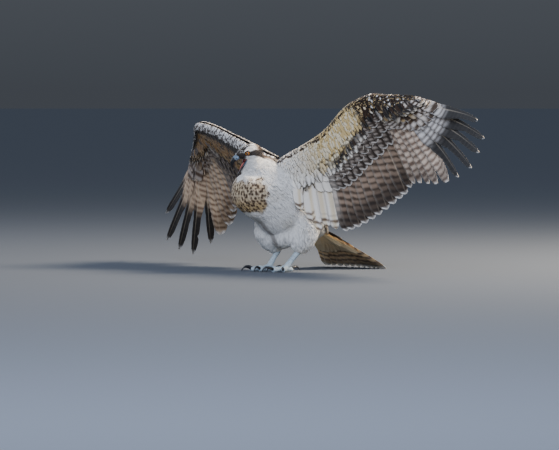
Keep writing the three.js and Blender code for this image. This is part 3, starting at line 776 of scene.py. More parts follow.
def addCoverts(name, wing, stations, rng):
    for side, face in (("Under", -1), ("Upper", 1)):
        data = covertLayout(wing, stations, face, coverts[side], rng)
        feather = [data[key] for key in ("root", "along", "normal", "length", "width")]
        verts, faces, ts, ss = plumes(*feather, rng, droop=0.07, lift=0.05, camber=0.08, rows=8)
        colour = covertColour(wing, data, ts, ss, face, rng)
        strip = np.stack([data["k"] / 8.2, data["row"] * 0.45 + (0.5 if face > 0 else 0.02)], -1)
        faces = faces[:, ::-1] if wing["side"] * face > 0 else faces
        places = strip[:, None, None] + patchOf(ts, ss)
        piece = makeMesh(f"coverts{name}{side}", toFrame(verts), faces, colour, places)
        finishPiece(piece, plumeMaterial, f"wing_{name.lower()}_arm", f"wing_{name.lower()}_hand")
        print("coverts", name, side, len(data["k"]))


def addWingSkin(name, wing, stations):
    # The skin lies well inside the coverts
    shrink = 0.86
    k, r = np.linspace(0, 8, 60)[:, None], np.linspace(0, 1, 9)
    upper, lower = (wingSkin(stations, k, r, face) for face in (1, -1))
    ring = np.concatenate([upper, lower[:, ::-1][:, 1:-1]], 1)
    middle = ring.mean(1, keepdims=True)
    ring = middle + (ring - middle) * shrink
    tone = blendTo("e6dfd2", "6b5a48", smooth(3.9, 4.6, k) * 0.6 + np.zeros(ring.shape[1]))
    tone[:, : len(r)] = hexColour("3d3027")
    faces = ringFaces(*ring.shape[:2], flip=wing["side"] < 0)
    piece = makeMesh(f"wingSkin{name}", toFrame(ring), faces, tone)
    finishPiece(piece, plumeMaterial, f"wing_{name.lower()}_arm")


def addWing(name, wing, seed):
    rng = np.random.default_rng(seed)
    stations = wingStations(wing)
    addFlight(name, wing, rng)
    addCoverts(name, wing, stations, rng)
    addWingSkin(name, wing, stations)


# Tail
tail = {
    "feathers": 12,
    "length": 202,
    "width": 34,
    "halfFan": 27,
    "root": (0, 118, 104.0),
    "aim": (-0.13, 0.845, -0.52),
    "spread": 17,  # of the roots to either side
    "tipHeight": 0.9,  # the fan lies on the floor at its tips
}
# Length, width and lift at root and tip, two rows above and two below
tailCoverts = [
    (92, 30, (2.6, 3.6)),
    (52, 30, (4.6, 6.2)),
    (112, 32, (-2.6, -4.4)),
    (66, 30, (-5, -8)),
]


def tailColour(f, t, s, face, rng):
    # The underside's ground and bars are paler than the upper side's, and brightened further as painted light
    # through the vanes
    ground, dark = blendTo("ffe0b0", "9c7a55", face > 0), blendTo("7a5a3c", "2c2018", face > 0)
    bar = bars(t * f["length"] + 8, 24, 0.42, 4 * np.abs(s) + 2 * math.sin(f["index"] * 2.1))
    colour = blendTo(ground, dark, bar * 0.92)
    colour = blendTo(colour, "4a3524", smooth(0.83, 0.88, t) * 0.5 * (1 - smooth(0.93, 0.95, t)))
    colour = blendTo(colour, "f4eee3", smooth(0.925, 0.95, t + 0.015 * s**2))
    return blendTo(colour, "ece0c8", (np.abs(s) < vaneSettings["shaftReach"]) * 0.7)


def tailCovertColour(f, t, s, face, rng):
    return blendTo("4a3a2c", "d8c8ac", smooth(0.86, 0.95, t + 0.05 * np.abs(s)))


def undertailColour(f, t, s, face, rng):
    return blendTo("f3dcae", "e9dcc2", smooth(0.3, 1, t) * 0.5)


def addTail(seed=5):
    rng = np.random.default_rng(seed)
    aim = unit(tail["aim"])
    sideways = unit(np.array([1.0, 0, 0]) - aim * aim[0])
    dorsal = np.cross(sideways, aim)
    sheaf = newSheaf()
    middle = (tail["feathers"] - 1) / 2
    # From the outermost pair in, so that the middle pair lies on top
    for i in sorted(range(tail["feathers"]), key=lambda i: -abs(i - middle)):
        place = (i - middle) / middle
        side = 1 if place > 0 else -1
        turn = place * math.radians(tail["halfFan"])
        across = (sideways * math.cos(turn) - aim * math.sin(turn)) * side
        stacked = 3.4 - 1.2 * abs(place) * middle
        root = np.array(tail["root"]) + sideways * place * tail["spread"] + dorsal * stacked
        length = tail["length"] - 3 * place**2
        along = aim * math.cos(turn) + sideways * math.sin(turn)
        along[2] = (tail["tipHeight"] - root[2]) / length
        f = dict(index=i, root=root, along=unit(along), length=length, acrossRoot=across, acrossTip=across,
                 side=side, tilt=0.0, bow=0.012, width=tail["width"])
        sheets = [(featherSheet(f, "tail", rng, 6, cup=0.02), tailColour)]
        for reach, width, lift in tailCoverts:
            reach = reach * rng.uniform(0.93, 1.05)
            sheet = featherSheet(f, "round", rng, -6, reach, width, lift, 16, cup=0.08)
            sheets.append((sheet, tailCovertColour if lift[0] > 0 else undertailColour))
        addSheets(sheaf, f, sheets, rng)
    finishSheaf(sheaf, "tailFeathers", "tail")


# Body: one skin over neck, head, torso and thighs, with a coat of small plumes
fleshNodes = ["torso", "neck", "head", "thigh_left", "thigh_right"]
bodySettings = {
    "voxel": 1.9,
    "smoothing": 14,
    "relaxing": 130,  # more rounds of smoothing, away from the head
    "loose": (46, 78),  # how far from the head's middle these begin and are full
    "depth": 2.0,  # how far the skin lies inside the coat
    "densest": 4.0e6,  # plumes a square metre, more than any spacing lets through
    "firstSeed": 11,
}
# Loose plumage that fills out the belly and the loins, as ovals of a centre and three radii
looseForms = [((0, -6, 104), (34, 40, 44)), ((0, 30, 118), (48, 40, 44))]
# One net of faces covers both in overlapping layers, each a step of vertices further on, so that
# they wrap the whole of the first oval and the upper half of the second
looseNet = {"segments": 20, "rings": 14, "layers": 12, "step": 14}


def ovalMesh(centre, radii, segments=20, rings=14):
    u = np.linspace(0, 2 * np.pi, segments, endpoint=False)
    v = np.linspace(0.02, np.pi - 0.02, rings)[:, None]
    p = np.stack([np.cos(u) * np.sin(v), np.sin(u) * np.sin(v), np.cos(v) + 0 * u], -1)
    return p * np.array(radii, float) + np.array(centre, float), ringFaces(rings, segments)


def bodySkin():
    forms = []
    for node in fleshNodes:
        mesh = nodes[node].data
        forms.append((readAll(mesh.vertices, "co", 3), [tuple(p.vertices) for p in mesh.polygons]))
    rings, segments = looseNet["rings"], looseNet["segments"]
    ovals = np.concatenate([ovalMesh(*form, segments, rings)[0] for form in looseForms])
    layers = np.arange(looseNet["layers"]) * looseNet["step"]
    net = [tuple(v + start for v in f) for start in layers for f in ringFaces(rings, segments)]
    forms.append((toFrame(ovals).reshape(-1, 3), net))
    verts, faces, base = [], [], 0
    for places, group in forms:
        verts.append(places)
        faces += [tuple(v + base for v in f) for f in group]
        base += len(places)
    rough = makeMesh("bodyRough", np.concatenate(verts), faces)
    remesh = rough.modifiers.new("oneSkin", "REMESH")
    remesh.mode, remesh.voxel_size = "VOXEL", bodySettings["voxel"] * mm
    soften = rough.modifiers.new("soften", "SMOOTH")
    soften.factor, soften.iterations = 0.5, bodySettings["smoothing"]
    firm = plainMesh(rough, "bodyFirm")
    bpy.data.objects.remove(rough)
    # The body is smoothed much more than the head
    group = firm.vertex_groups.new(name="loose")
    away = np.linalg.norm(inHead(toBird(readAll(firm.data.vertices, "co", 3))), axis=-1)
    loose = np.round(smooth(*bodySettings["loose"], away), 1)
    for share in np.unique(loose):
        group.add(np.nonzero(loose == share)[0].tolist(), float(share), "REPLACE")
    relax = firm.modifiers.new("relax", "SMOOTH")
    relax.factor, relax.iterations, relax.vertex_group = 0.5, bodySettings["relaxing"], "loose"
    skin = plainMesh(firm, "bodySkin")
    bpy.data.objects.remove(firm)
    inward = readAll(skin.data.vertices, "normal", 3) * bodySettings["depth"] * mm
    writeAll(skin.data.vertices, "co", readAll(skin.data.vertices, "co", 3) - inward)
    skin.data.update()
    return skin


def regions(p):
    # Soft weights of the parts of the plumage for places on the bird, and q in the head's own axes
    q = inHead(p)
    x, y, z = p[..., 0], p[..., 1], p[..., 2]
    fromHead = np.linalg.norm(q * [1, 0.82, 1], axis=-1)
    head = smooth(42, 33, fromHead)
    # The back is the upper part of the body's height, which changes along it
    line = [-146, -106, -50, 0, 48, 90, 120]
    low, tall = [214, 206, 200, 184, 154, 122, 102], [40, 58, 84, 92, 66, 36, 20]
    rise = (z - np.interp(y, line, low)) / np.interp(y, line, tall)
    narrow = smooth(54, 44, np.abs(x) + 0.6 * np.maximum(-10 - y, 0))
    back = smooth(0.42, 0.62, rise) * (1 - head) * smooth(-74, -50, y) * narrow
    below = q[..., 2] + 8 + 0.5 * np.maximum(q[..., 1] - 14, 0)
    ragged = 9 * softNoise(p, 8, 6)
    breast = smooth(-96, -112, y + ragged) * smooth(150, 166, z + ragged) * smooth(246, 232, z + ragged)
    return {
        "q": q,
        "head": head,
        "hood": smooth(82, 66, fromHead),
        "nape": smooth(4, 20, q[..., 1]) * smooth(-5, 3, below) * smooth(90, 72, fromHead),
        "back": back,
        "breast": breast * (1 - head),
        "thigh": smooth(132, 104, z) * (1 - back),
    }


def dropPattern(p, cell, wide, tall):
    # Jittered drops about a cell apart: 1 at a drop's middle, 0 outside it
    grid = np.floor(p / cell)
    best = np.full(p.shape[:-1], 9.0)
    for step in np.ndindex(3, 3, 3):
        home = grid + np.array(step) - 1
        key = home @ np.array([12.9898, 78.233, 37.719])
        shift = np.stack([np.mod(np.sin(key + n * 1.7) * 43758.5453, 1) for n in range(3)], -1)
        d = (p - (home + 0.2 + 0.6 * shift) * cell) / [wide, wide * 1.6, tall]
        best = np.minimum(best, np.linalg.norm(d, axis=-1))
    return smooth(1.0, 0.55, best)


def lieOf(p, normal):
    # Which way the plumes lie, in the skin's own plane
    w = regions(p)
    q = w["q"]
    one = np.ones(len(p))
    inOwn = np.stack([0.15 * np.sign(q[:, 0]), one, -0.25 - 0.2 * smooth(0, -12, q[:, 2])], -1)
    bodyLie = unit(np.stack([0.15 * np.sign(p[:, 0]), 0.62 * one, -0.72 * one], -1))
    throat = smooth(-96, -124, p[:, 1]) * smooth(200, 232, p[:, 2])
    bodyLie = blendTo(bodyLie, unit([-0.1, -0.45, -0.88]), throat)
    lie = blendTo(unit(bodyLie), unit(inOwn @ headTurn.T), smooth(70, 34, np.linalg.norm(q, axis=-1)))
    lie = blendTo(lie, unit([0, 0.15, -1.0]), w["thigh"])
    return unit(lie - normal * (lie * normal).sum(-1, keepdims=True))


def bodyColour(p, t, s, chance, at):
    # p is where a plume is rooted, at is where the coloured point itself is
    w = regions(p)
    q, nape = w["q"], w["nape"]
    x, y, z = np.abs(q[..., 0]), q[..., 1], q[..., 2]
    colour = blendTo("f2f0ec", "e3dccb", 0.35 * smooth(-0.2, 0.8, softNoise(p, 26, 2)))
    # The breast's buff ground with brown drops
    colour = blendTo(colour, "ccb07c", w["breast"] * (0.62 + 0.3 * smooth(205, 170, p[..., 2])))
    drop = smooth(0.25, 0.6, w["breast"]) * dropPattern(at, 7.6, 3.5, 5.0)
    colour = blendTo(colour, "4f351c", drop * 0.97)
    # Nape and sides of the neck, buff with brown streaks
    colour = blendTo(colour, "bf9f7c", nape * 0.8)
    colour = blendTo(colour, "4a3626", nape * ((chance > 0.32) * 0.8 + 0.1))
    # The band through the eye to the nape
    rise = np.abs(z - (1.5 - 0.28 * np.maximum(y, 0)))
    wide = 6.4 + 0.2 * np.maximum(y, -10) + softNoise(p, 4.0) * 1.6
    band = smooth(wide + 1.5, wide - 1.5, rise) * smooth(6, 10, x) * smooth(64, 52, y) * smooth(-28, -22, y)
    lores = smooth(-18, -24, y) * smooth(-12, -8, z + 0.2 * (y + 30)) * smooth(9.5, 6, z + 0.15 * (y + 30))
    band = np.maximum(band, lores * smooth(2, 5, x))
    colour = blendTo(colour, "33261c", band * w["hood"] * (0.97 - 0.5 * smooth(24, 44, y) * (chance > 0.55)))
    # Streaks at the fore crown
    crown = w["head"] * smooth(5, 10, z) * smooth(6, -8, y) * smooth(15, 11, x - 0.3 * np.maximum(-y - 12, 0))
    colour = blendTo(colour, "2e231b", crown * (chance > 0.45 - 0.25 * smooth(-8, -22, y)) * 0.94)
    # Back: dark brown, each feather with a pale tip
    dark = blendTo("43352a", "2b221b", (chance > 0.5) * 0.5)
    dark = blendTo(dark, "e8decd", smooth(0.72, 0.86, t + 0.08 * np.abs(s)) * 0.9)
    colour = blendTo(colour, dark, w["back"] * 0.97)
    # Painted shade in the crease between the thighs
    paintedCreaseShade = smooth(12, 4, np.abs(p[..., 0] - 1)) * smooth(150, 130, p[..., 2]) * smooth(10, -10, p[..., 1])
    return blendTo(colour, "7d7367", paintedCreaseShade * 0.55)


coats = {
    "Face": dict(spacing=1.25, length=5.0, width=2.3, outline="pointed", lift=0.16, droop=0.16),
    "Neck": dict(spacing=2.1, length=11.0, width=3.6, outline="pointed", lift=0.2, droop=0.22),
    "Breast": dict(spacing=2.4, length=10.0, width=4.4, outline="pointed", lift=0.16, droop=0.2),
    "Belly": dict(spacing=2.9, length=16.0, width=5.4, outline="pointed", lift=0.16, droop=0.2),
    "Thigh": dict(spacing=2.4, length=17.0, width=4.2, outline="pointed", lift=0.2, droop=0.2),
    "Back": dict(spacing=5.2, length=26.0, width=15.0, outline="round", lift=0.12, droop=0.14),
}
faceSettings = {
    "reach": 40,  # from the head's middle
    "eye": (21, -14, 3),  # the left eye's rim, in the head's own axes
    "bareEye": 7.2,
    "bill": (0, -40, -4),
}


def faceDistances(q):
    # From the head's middle and from the rim of the nearer eye
    mirrored = np.stack([np.abs(q[..., 0]), q[..., 1], q[..., 2]], -1)
    toEye = np.linalg.norm(mirrored - faceSettings["eye"], axis=-1)
    return np.linalg.norm(q * [1, 0.9, 1], axis=-1), toEye


def regionMasks(p):
    w = regions(p)
    y, z = w["q"][..., 1], w["q"][..., 2]
    reach, toEye = faceDistances(w["q"])
    face = reach < faceSettings["reach"]
    mouth = (y < -40) | ((z < -6.5) & (y < -23) & (z > -30))
    back = w["back"] > 0.5
    thigh = (w["thigh"] > 0.5) & ~back
    breast = (w["breast"] > 0.03) & ~(face | back)
    neck = ~(face | breast | back) & (p[..., 2] > 232)
    return {
        "Face": face & (toEye >= faceSettings["bareEye"]) & ~mouth,
        "Neck": neck,
        "Breast": breast,
        "Belly": ~(face | neck | breast | back | thigh),
        "Thigh": thigh & ~breast,
        "Back": back & ~face,
    }


def scatterTree(name):
    # Plumes spread over the skin, where the attribute of the coat's own name is set
    tree = bpy.data.node_groups.new(name + "Tree", "GeometryNodeTree")
    tree.interface.new_socket("Skin", in_out="INPUT", socket_type="NodeSocketGeometry")
    sockets = {}
    kinds = {"Spacing": "Float", "Plume": "Object", "Length": "Float", "Width": "Float", "Seed": "Int"}
    for label, kind in kinds.items():
        socket = tree.interface.new_socket(label, in_out="INPUT", socket_type="NodeSocket" + kind)
        sockets[label] = socket.identifier
    tree.interface.new_socket("Coat", in_out="OUTPUT", socket_type="NodeSocketGeometry")
    start = addNode(tree, "NodeGroupInput").outputs
    chosen = addNode(tree, "GeometryNodeInputNamedAttribute", {"data_type": "BOOLEAN"}, {"Name": name})
    spread = addNode(tree, "GeometryNodeDistributePointsOnFaces", {"distribute_method": "POISSON"}, {
        "Mesh": start["Skin"], "Selection": chosen, "Distance Min": start["Spacing"],
        "Density Max": bodySettings["densest"], "Seed": start["Seed"]})
    # Each plume stands on the skin, lies back along it and turns a little at random
    lie = addNode(tree, "GeometryNodeInputNamedAttribute", {"data_type": "FLOAT_VECTOR"}, {"Name": "lie"})
    upright = addNode(tree, "FunctionNodeAlignRotationToVector", {"axis": "Z"}, {
        "Vector": spread.outputs["Normal"]})
    laid = addNode(tree, "FunctionNodeAlignRotationToVector", {"axis": "Y", "pivot_axis": "Z"}, {
        "Rotation": upright, "Vector": lie})
    wander = addNode(tree, "FunctionNodeRandomValue", {"data_type": "FLOAT_VECTOR"}, {
        "Min": (-0.10, -0.16, -0.2), "Max": (0.12, 0.16, 0.2)})
    turned = addNode(tree, "FunctionNodeRotateRotation", {"rotation_space": "LOCAL"}, {
        "Rotation": laid, "Rotate By": wander})
    # Its size follows the skin's own scale, and varies
    chance = addNode(tree, "FunctionNodeRandomValue", {"data_type": "FLOAT"})
    sizes = addNode(tree, "FunctionNodeRandomValue", {"data_type": "FLOAT"}, {2: 0.8, 3: 1.15})
    own = addNode(tree, "GeometryNodeInputNamedAttribute", {"data_type": "FLOAT"}, {"Name": "plumeScale"})
    grown = addNode(tree, "ShaderNodeMath", {"operation": "MULTIPLY"}, {0: own, 1: sizes.outputs[1]})
    full = addNode(tree, "ShaderNodeCombineXYZ", None, {
        "X": start["Width"], "Y": start["Length"], "Z": start["Length"]})
    scaled = addNode(tree, "ShaderNodeVectorMath", {"operation": "SCALE"}, {0: full, "Scale": grown})
    shape = addNode(tree, "GeometryNodeObjectInfo", {"transform_space": "ORIGINAL"}, {
        "Object": start["Plume"]})
    # What the colours need goes along with every plume
    marked = addNode(tree, "GeometryNodeStoreNamedAttribute", {"data_type": "FLOAT", "domain": "POINT"}, {
        "Geometry": spread.outputs["Points"], "Name": "chance", "Value": chance.outputs[1]})
    here = addNode(tree, "GeometryNodeInputPosition")
    vectors = {"data_type": "FLOAT_VECTOR", "domain": "POINT"}
    rooted = addNode(tree, "GeometryNodeStoreNamedAttribute", vectors, {
        "Geometry": marked, "Name": "plumeRoot", "Value": here})
    placed = addNode(tree, "GeometryNodeInstanceOnPoints", None, {
        "Points": rooted, "Instance": shape.outputs["Geometry"], "Rotation": turned, "Scale": scaled})
    real = addNode(tree, "GeometryNodeRealizeInstances", None, {"Geometry": placed})
    dressed = addNode(tree, "GeometryNodeSetMaterial", None, {"Geometry": real, "Material": plumeMaterial})
    tree.links.new(dressed.outputs["Geometry"], addNode(tree, "NodeGroupOutput").inputs[0])
    return tree, sockets


def plumeShape(coat):
    # One plume, 1 long along +Y and 1 wide, as a closed shape with a ridge
    ahead, up = np.array([[0, 1.0, 0]]), np.array([[0, 0, 1.0]])
    verts, faces, ts, ss = plumes(
        np.zeros((1, 3)), ahead, up, 1.0, 1.0, np.random.default_rng(1),
        droop=coat["droop"], lift=coat["lift"], camber=0.16, outline=coat["outline"])
    shape = makeMesh("plumeShape", verts, faces)
    setAttribute(shape.data, "vaneAlong", "FLOAT", ts)
    setAttribute(shape.data, "vaneAcross", "FLOAT", ss)
    return shape


def unwrap(skin):
    # A map of the skin, so that each plume keeps a place of its own on it
    bpy.context.view_layer.objects.active = skin
    for other in bpy.context.selected_objects:
        other.select_set(False)
    skin.select_set(True)
    bpy.ops.object.mode_set(mode="EDIT")
    bpy.ops.mesh.select_all(action="SELECT")
    bpy.ops.uv.smart_project(angle_limit=1.15, island_margin=0.002)
    bpy.ops.object.mode_set(mode="OBJECT")
    mesh = skin.data
    mesh.uv_layers[0].name = "skinMap"
    places = np.zeros((len(mesh.vertices), 3), np.float32)
    places[readAll(mesh.loops, "vertex_index", 1, np.int32), :2] = readAll(mesh.uv_layers[0].data, "uv", 2)
    return places


def growCoat(skin, name, coat, seed):
    # The coat as a plain mesh, then its colours and its map
    shape = plumeShape(coat)
    tree, sockets = scatterTree(name)
    growth = skin.modifiers.new(name, "NODES")
    growth.node_group = tree
    sizes = {"Spacing": coat["spacing"] * mm, "Length": coat["length"] * mm, "Width": coat["width"] * mm}
    for label, value in {**sizes, "Plume": shape, "Seed": seed}.items():
        growth[sockets[label]] = value
    grown = plainMesh(skin, name)
    bpy.data.objects.remove(shape)
    mesh = grown.data
    root, place = (readAll(mesh.attributes[n].data, "vector", 3) for n in ("plumeRoot", "skinPlace"))
    t, s, chance = (readAll(mesh.attributes[n].data, "value") for n in ("vaneAlong", "vaneAcross", "chance"))
    colour = bodyColour(toBird(root), t, s, chance, toBird(readAll(mesh.vertices, "co", 3)))
    shade = 0.9 + 0.07 * np.sin(chance * 40)
    for spare in list(mesh.color_attributes):
        mesh.color_attributes.remove(spare)
    for spare in list(mesh.uv_layers):
        mesh.uv_layers.remove(spare)
    setColours(mesh, colour * shade[:, None])
    setMap(mesh, place[:, :2] + patchOf(t, s))
    writeAll(mesh.polygons, "use_smooth", np.ones(len(mesh.polygons)), bool)
    for spare in ("lie", "plumeRoot", "skinPlace", "plumeScale", *["coat" + part for part in coats]):
        if spare in mesh.attributes:
            mesh.attributes.remove(mesh.attributes[spare])
    print(name, len(mesh.polygons))
    finishPiece(grown, plumeMaterial, *fleshNodes)


def addBody():
    skin = bodySkin()
    mesh = skin.data
    places = toBird(readAll(mesh.vertices, "co", 3))
    print("skin", len(places))
    setAttribute(mesh, "lie", "FLOAT_VECTOR", lieOf(places, readAll(mesh.vertices, "normal", 3)))
    skinPlace = unwrap(skin)
    setAttribute(mesh, "skinPlace", "FLOAT_VECTOR", skinPlace)
    # The face's plumes are smallest round the bill and the eyes
    q = inHead(places)
    reach, toEye = faceDistances(q)
    toBill = np.linalg.norm(q - faceSettings["bill"], axis=-1)
    small = 0.45 + 0.75 * smooth(8, 38, np.minimum(toBill, toEye * 1.6))
    setAttribute(mesh, "plumeScale", "FLOAT", np.where(reach < faceSettings["reach"], small, 1.0))
    setColours(mesh, bodyColour(places, t=0.45, s=0.3, chance=0.45, at=places))
    writeAll(mesh.polygons, "use_smooth", np.ones(len(mesh.polygons)), bool)
    for part, mask in regionMasks(places).items():
        setAttribute(mesh, "coat" + part, "BOOLEAN", mask)
    for seed, (part, coat) in enumerate(coats.items(), bodySettings["firstSeed"]):
        growCoat(skin, "coat" + part, coat, seed)
    finishPiece(skin, plumeMaterial, *fleshNodes)


# Head parts
def tube(stations, segments, rows, side=(1, 0, 0)):
    # A body through stations of (place, half width, up, down). Returns places, share along and angle round
    u = np.linspace(0, len(stations) - 1, rows)
    centre = np.array([splineAt([s[0] for s in stations], v) for v in u])
    size = np.maximum(np.array([splineAt([s[1:] for s in stations], v) for v in u]), 0.05)
    along = unit(np.gradient(centre, axis=0))
    side = np.array(side, float)
    wide = unit(side - along * (along @ side)[:, None])
    high = np.cross(wide, along)
    if np.cross(side, along[0])[2] < 0:
        high = -high
    a = np.linspace(0, 2 * np.pi, segments, endpoint=False)
    lift = np.where(np.sin(a)[None] > 0, size[:, 1:2], size[:, 2:3]) * np.sin(a)
    out = wide[:, None] * (size[:, :1] * np.cos(a))[..., None]
    verts = centre[:, None] + out + high[:, None] * lift[..., None]
    return (verts, *np.broadcast_arrays(u[:, None] / (len(stations) - 1), a[None]))


def facesOut(verts, faces):
    # Turns the faces round if they enclose a negative volume
    v = np.reshape(verts, (-1, 3))
    volume = sum(np.dot(v[f[0]], np.cross(v[f[i]], v[f[i + 1]])) for f in faces for i in range(1, len(f) - 1))
    return [f[::-1] for f in faces] if volume < 0 else faces


def closedTube(name, verts, colours, material, *replaced):
    rows, columns = verts.shape[:2]
    faces = [tuple(q) for q in ringQuads(rows, columns)]
    faces += [tuple(range(columns))[::-1], tuple(range((rows - 1) * columns, rows * columns))]
    piece = makeMesh(name, toFrame(verts), facesOut(verts, faces), colours)
    finishPiece(piece, material, *replaced)


bill = {
    # place in the head's own axes, half width, reach up and down
    "upper": [((0, -36, -3.2), 10.4, 9.0, 5.4), ((0, -41, -4.2), 9.6, 8.8, 5.2),
              ((0, -46, -6.4), 8.2, 8.0, 4.6), ((0, -51.2, -11), 6.1, 6.3, 4.4),
              ((0, -54.6, -17), 3.9, 4.2, 4.0), ((0, -55.4, -23), 2.1, 2.3, 2.4),
              ((0, -54.2, -28), 0.5, 0.6, 0.6)],
    "lower": [((0, -15, -13), 9.4, 3.0, 5.4), ((0, -28, -26), 7.0, 1.8, 4.4),
              ((0, -37, -36), 4.8, 1.4, 3.4), ((0, -45.2, -45.7), 1.2, 0.6, 0.9)],
    "tongue": [((0, -22, -17), 4.2, 1.6, 1.2), ((0, -27, -22), 3.9, 1.5, 1.0),
               ((0, -33, -28), 2.8, 1.1, 0.9), ((0, -37.5, -32.5), 0.6, 0.4, 0.3)],
    "lining": [((0, -13, -8), 11.0, 5.0, 6.0), ((0, -19, -11.5), 10.0, 4.0, 6.0),
               ((0, -24, -14.5), 8.4, 2.6, 4.6), ((0, -27.5, -17), 3.5, 1.0, 1.6)],
    "nostril": (8.9, -43.5, -3.2),
    "nostrilSize": (3.6, 3.2, 1.3),
    "nostrilDepth": 1.6,
    "tongueGroove": 0.9,
}


def addBill():
    cere, flesh = "7c8d9d", "6c2522"
    verts, u, a = tube(bill["upper"], 28, 52)
    nostrilShade, dent = np.zeros(u.shape), np.zeros(u.shape)
    for side in (-1, 1):
        nostril = np.array([side, 1, 1]) * bill["nostril"]
        away = np.linalg.norm((verts - nostril) / bill["nostrilSize"], axis=-1)
        dent += side * bill["nostrilDepth"] * np.clip(1 - away, 0, 1)
        nostrilShade += np.clip(1.1 - away, 0, 1)
    verts[..., 0] -= dent
    colour = blendTo("191b20", cere, smooth(0.36, 0.30, u + 0.03 * np.sin(a)) * 0.95)
    # The nostril openings are painted near black: painted shade inside them
    colour = blendTo(colour, "0b0b0d", np.clip(nostrilShade * 2, 0, 1))
    colour = blendTo(colour, flesh, smooth(-0.55, -0.85, np.sin(a)) * smooth(0.8, 0.6, u) * 0.9)
    closedTube("billUpper", onHead(verts), colour, billMaterial, "bill_upper")
    verts, u, a = tube(bill["lower"], 22, 34)
    colour = blendTo("17181c", flesh, smooth(0.45, 0.8, np.sin(a)) * smooth(0.95, 0.6, u))
    colour = blendTo(colour, cere, smooth(0.4, 0.25, u) * smooth(0.3, -0.2, np.sin(a)) * 0.8)
    closedTube("billLower", onHead(verts), colour, billMaterial, "bill_lower")
    verts, u, a = tube(bill["tongue"], 16, 24)
    verts[..., 2] -= bill["tongueGroove"] * smooth(4, 0, np.abs(verts[..., 0])) * (np.sin(a) > 0)
    colour = blendTo("c9685c", "8c3a36", smooth(0.3, 0.0, u))
    closedTube("tongueFlesh", onHead(verts), colour, mouthMaterial, "tongue")
    # The gape: dark red lining between the jaws
    verts, u, a = tube(bill["lining"], 20, 20)
    colour = blendTo(flesh, "3a1210", smooth(0.3, 1.0, u) * 0.6)
    closedTube("gapeLining", onHead(verts), colour, mouthMaterial)


eye = {
    "look": (0.93, -0.36, 0.02),  # of the left eye
    "bulge": 0.07,
    "iris": 5.6,
    "pupil": 2.9,
    "lidReach": (6.1, 4.9, 5.0),  # of the opening to a side, up and down
    "lidRadius": 0.75,
    "upperLid": 0.35,  # added to it above
}


def addEyeball(name, centre, look, across, up):
    radius, iris, pupil = headSettings["eyeRadius"], eye["iris"], eye["pupil"]
    angle = np.linspace(0, np.pi, 60)[:, None]
    a = np.linspace(0, 2 * np.pi, 40, endpoint=False)
    ring = np.sin(angle)
    bulge = radius * (1 + eye["bulge"] * smooth(0.62, 0.2, angle))
    sideways = (ring * np.cos(a))[..., None] * across + (ring * np.sin(a))[..., None] * up
    verts = centre + bulge[..., None] * (np.cos(angle)[..., None] * look + sideways)
    out = radius * ring + 0 * a
    ray = 0.5 + 0.5 * np.sin(a * 17 + 2 * np.sin(a * 5))
    tone = blendTo("b8701e", "dda646", ray * smooth(2.6, 4.6, out))
    tone = blendTo(tone, "6b3510", smooth(iris - 1.1, iris, out) * 0.8)
    seen = smooth(pupil - 0.25, pupil + 0.25, out) * smooth(iris + 0.3, iris - 0.1, out) * (angle <= 1.4)
    closedTube(f"eye{name}", onHead(verts), blendTo("0a0807", tone, seen), eyeMaterial, f"eye_{name.lower()}")


def addLids(name, centre, look, across, up):
    # A dark rim of skin round the ball, heavier above
    b = np.linspace(0, 2 * np.pi, 48, endpoint=False)
    c = np.linspace(0, 2 * np.pi, 10, endpoint=False)
    aside, above, beneath = eye["lidReach"]
    flat = np.stack([aside * np.cos(b), np.where(np.sin(b) > 0, above, beneath) * np.sin(b)], -1)
    depth = np.sqrt(np.maximum(headSettings["eyeRadius"] ** 2 - (flat**2).sum(-1), 0)) + 0.15
    sideways = flat[:, :1] * across + flat[:, 1:] * up
    spine = centre + depth[:, None] * look + sideways
    outward = unit(sideways + 0.4 * look)
    thick = (eye["lidRadius"] + eye["upperLid"] * (np.sin(b) > 0.2))[:, None]
    lid = spine[:, None] + outward[:, None] * (thick * np.cos(c))[..., None]
    lid = lid + look * (thick * np.sin(c))[..., None]
    faces = facesOut(lid, [tuple(q) for q in ringQuads(len(b), len(c), looped=True)])
    tone = plainTone("1c1815", lid)
    finishPiece(makeMesh(f"lids{name}", toFrame(onHead(lid)), faces, tone), billMaterial)


def addEyes():
    for name, side in (("Left", 1), ("Right", -1)):
        mirror = np.array([side, 1, 1])
        look = unit(mirror * eye["look"])
        up = unit(np.cross(look, np.cross([0, 0, 1.0], look)))
        view = (mirror * headSettings["eye"], look, np.cross(up, look), up)
        addEyeball(name, *view)
        addLids(name, *view)


# Legs and feet
legs = {
    "left": dict(side=1, thigh=(42, 30, 104), hock=(36, 14, 52), foot=(31, -27, 9), heading=8),
    "right": dict(side=-1, thigh=(-41, -22, 108), hock=(-36, 6, 54), foot=(-32, -33, 9), heading=-14),
}
# Turn from the foot's heading in degrees, and length
toes = {"inner": (-30, 36), "middle": (2, 48), "outer": (36, 41), "hind": (176, 27)}
footSettings = {
    "shankRadii": [9, 8.2, 6.6, 7.8, 6.6],
    "shankRings": (20, 0.07),  # rows of scutes and their relief
    "toeRadius": 5.6,
    "toeRadii": [5.8, 7.6, 6.5, 6.0, 4.1],
    "toeRings": (15, 0.09),
    "pad": (10.5, 11.5, 8.4),
    "clawLength": 27,
    # share of the claw's length and height above the floor, then its radii
    "clawLine": [(-0.16, 5.6), (0.18, 10.6), (0.56, 11.8), (0.84, 7.2), (0.93, 0.9)],
    "clawRadii": [3.5, 3.4, 2.7, 1.7, 0.4],
}


def limbTube(points, radii, segments, rows):
    # A limb that runs to the side is laid out from the Y axis instead
    run = unit(np.subtract(points[-1], points[0]))
    side = (1, 0, 0) if abs(run[0]) < 0.8 else (0, 1, 0)
    return tube([(p, r, r, r) for p, r in zip(points, radii)], segments, rows, side)


def footTone(p, bumpy):
    colour = blendTo("a9b8c0", "6f7f88", smooth(0.0, 0.6, softNoise(p, 3.0)) * 0.5)
    return blendTo(colour, "dfe6e6", bumpy * 0.4)


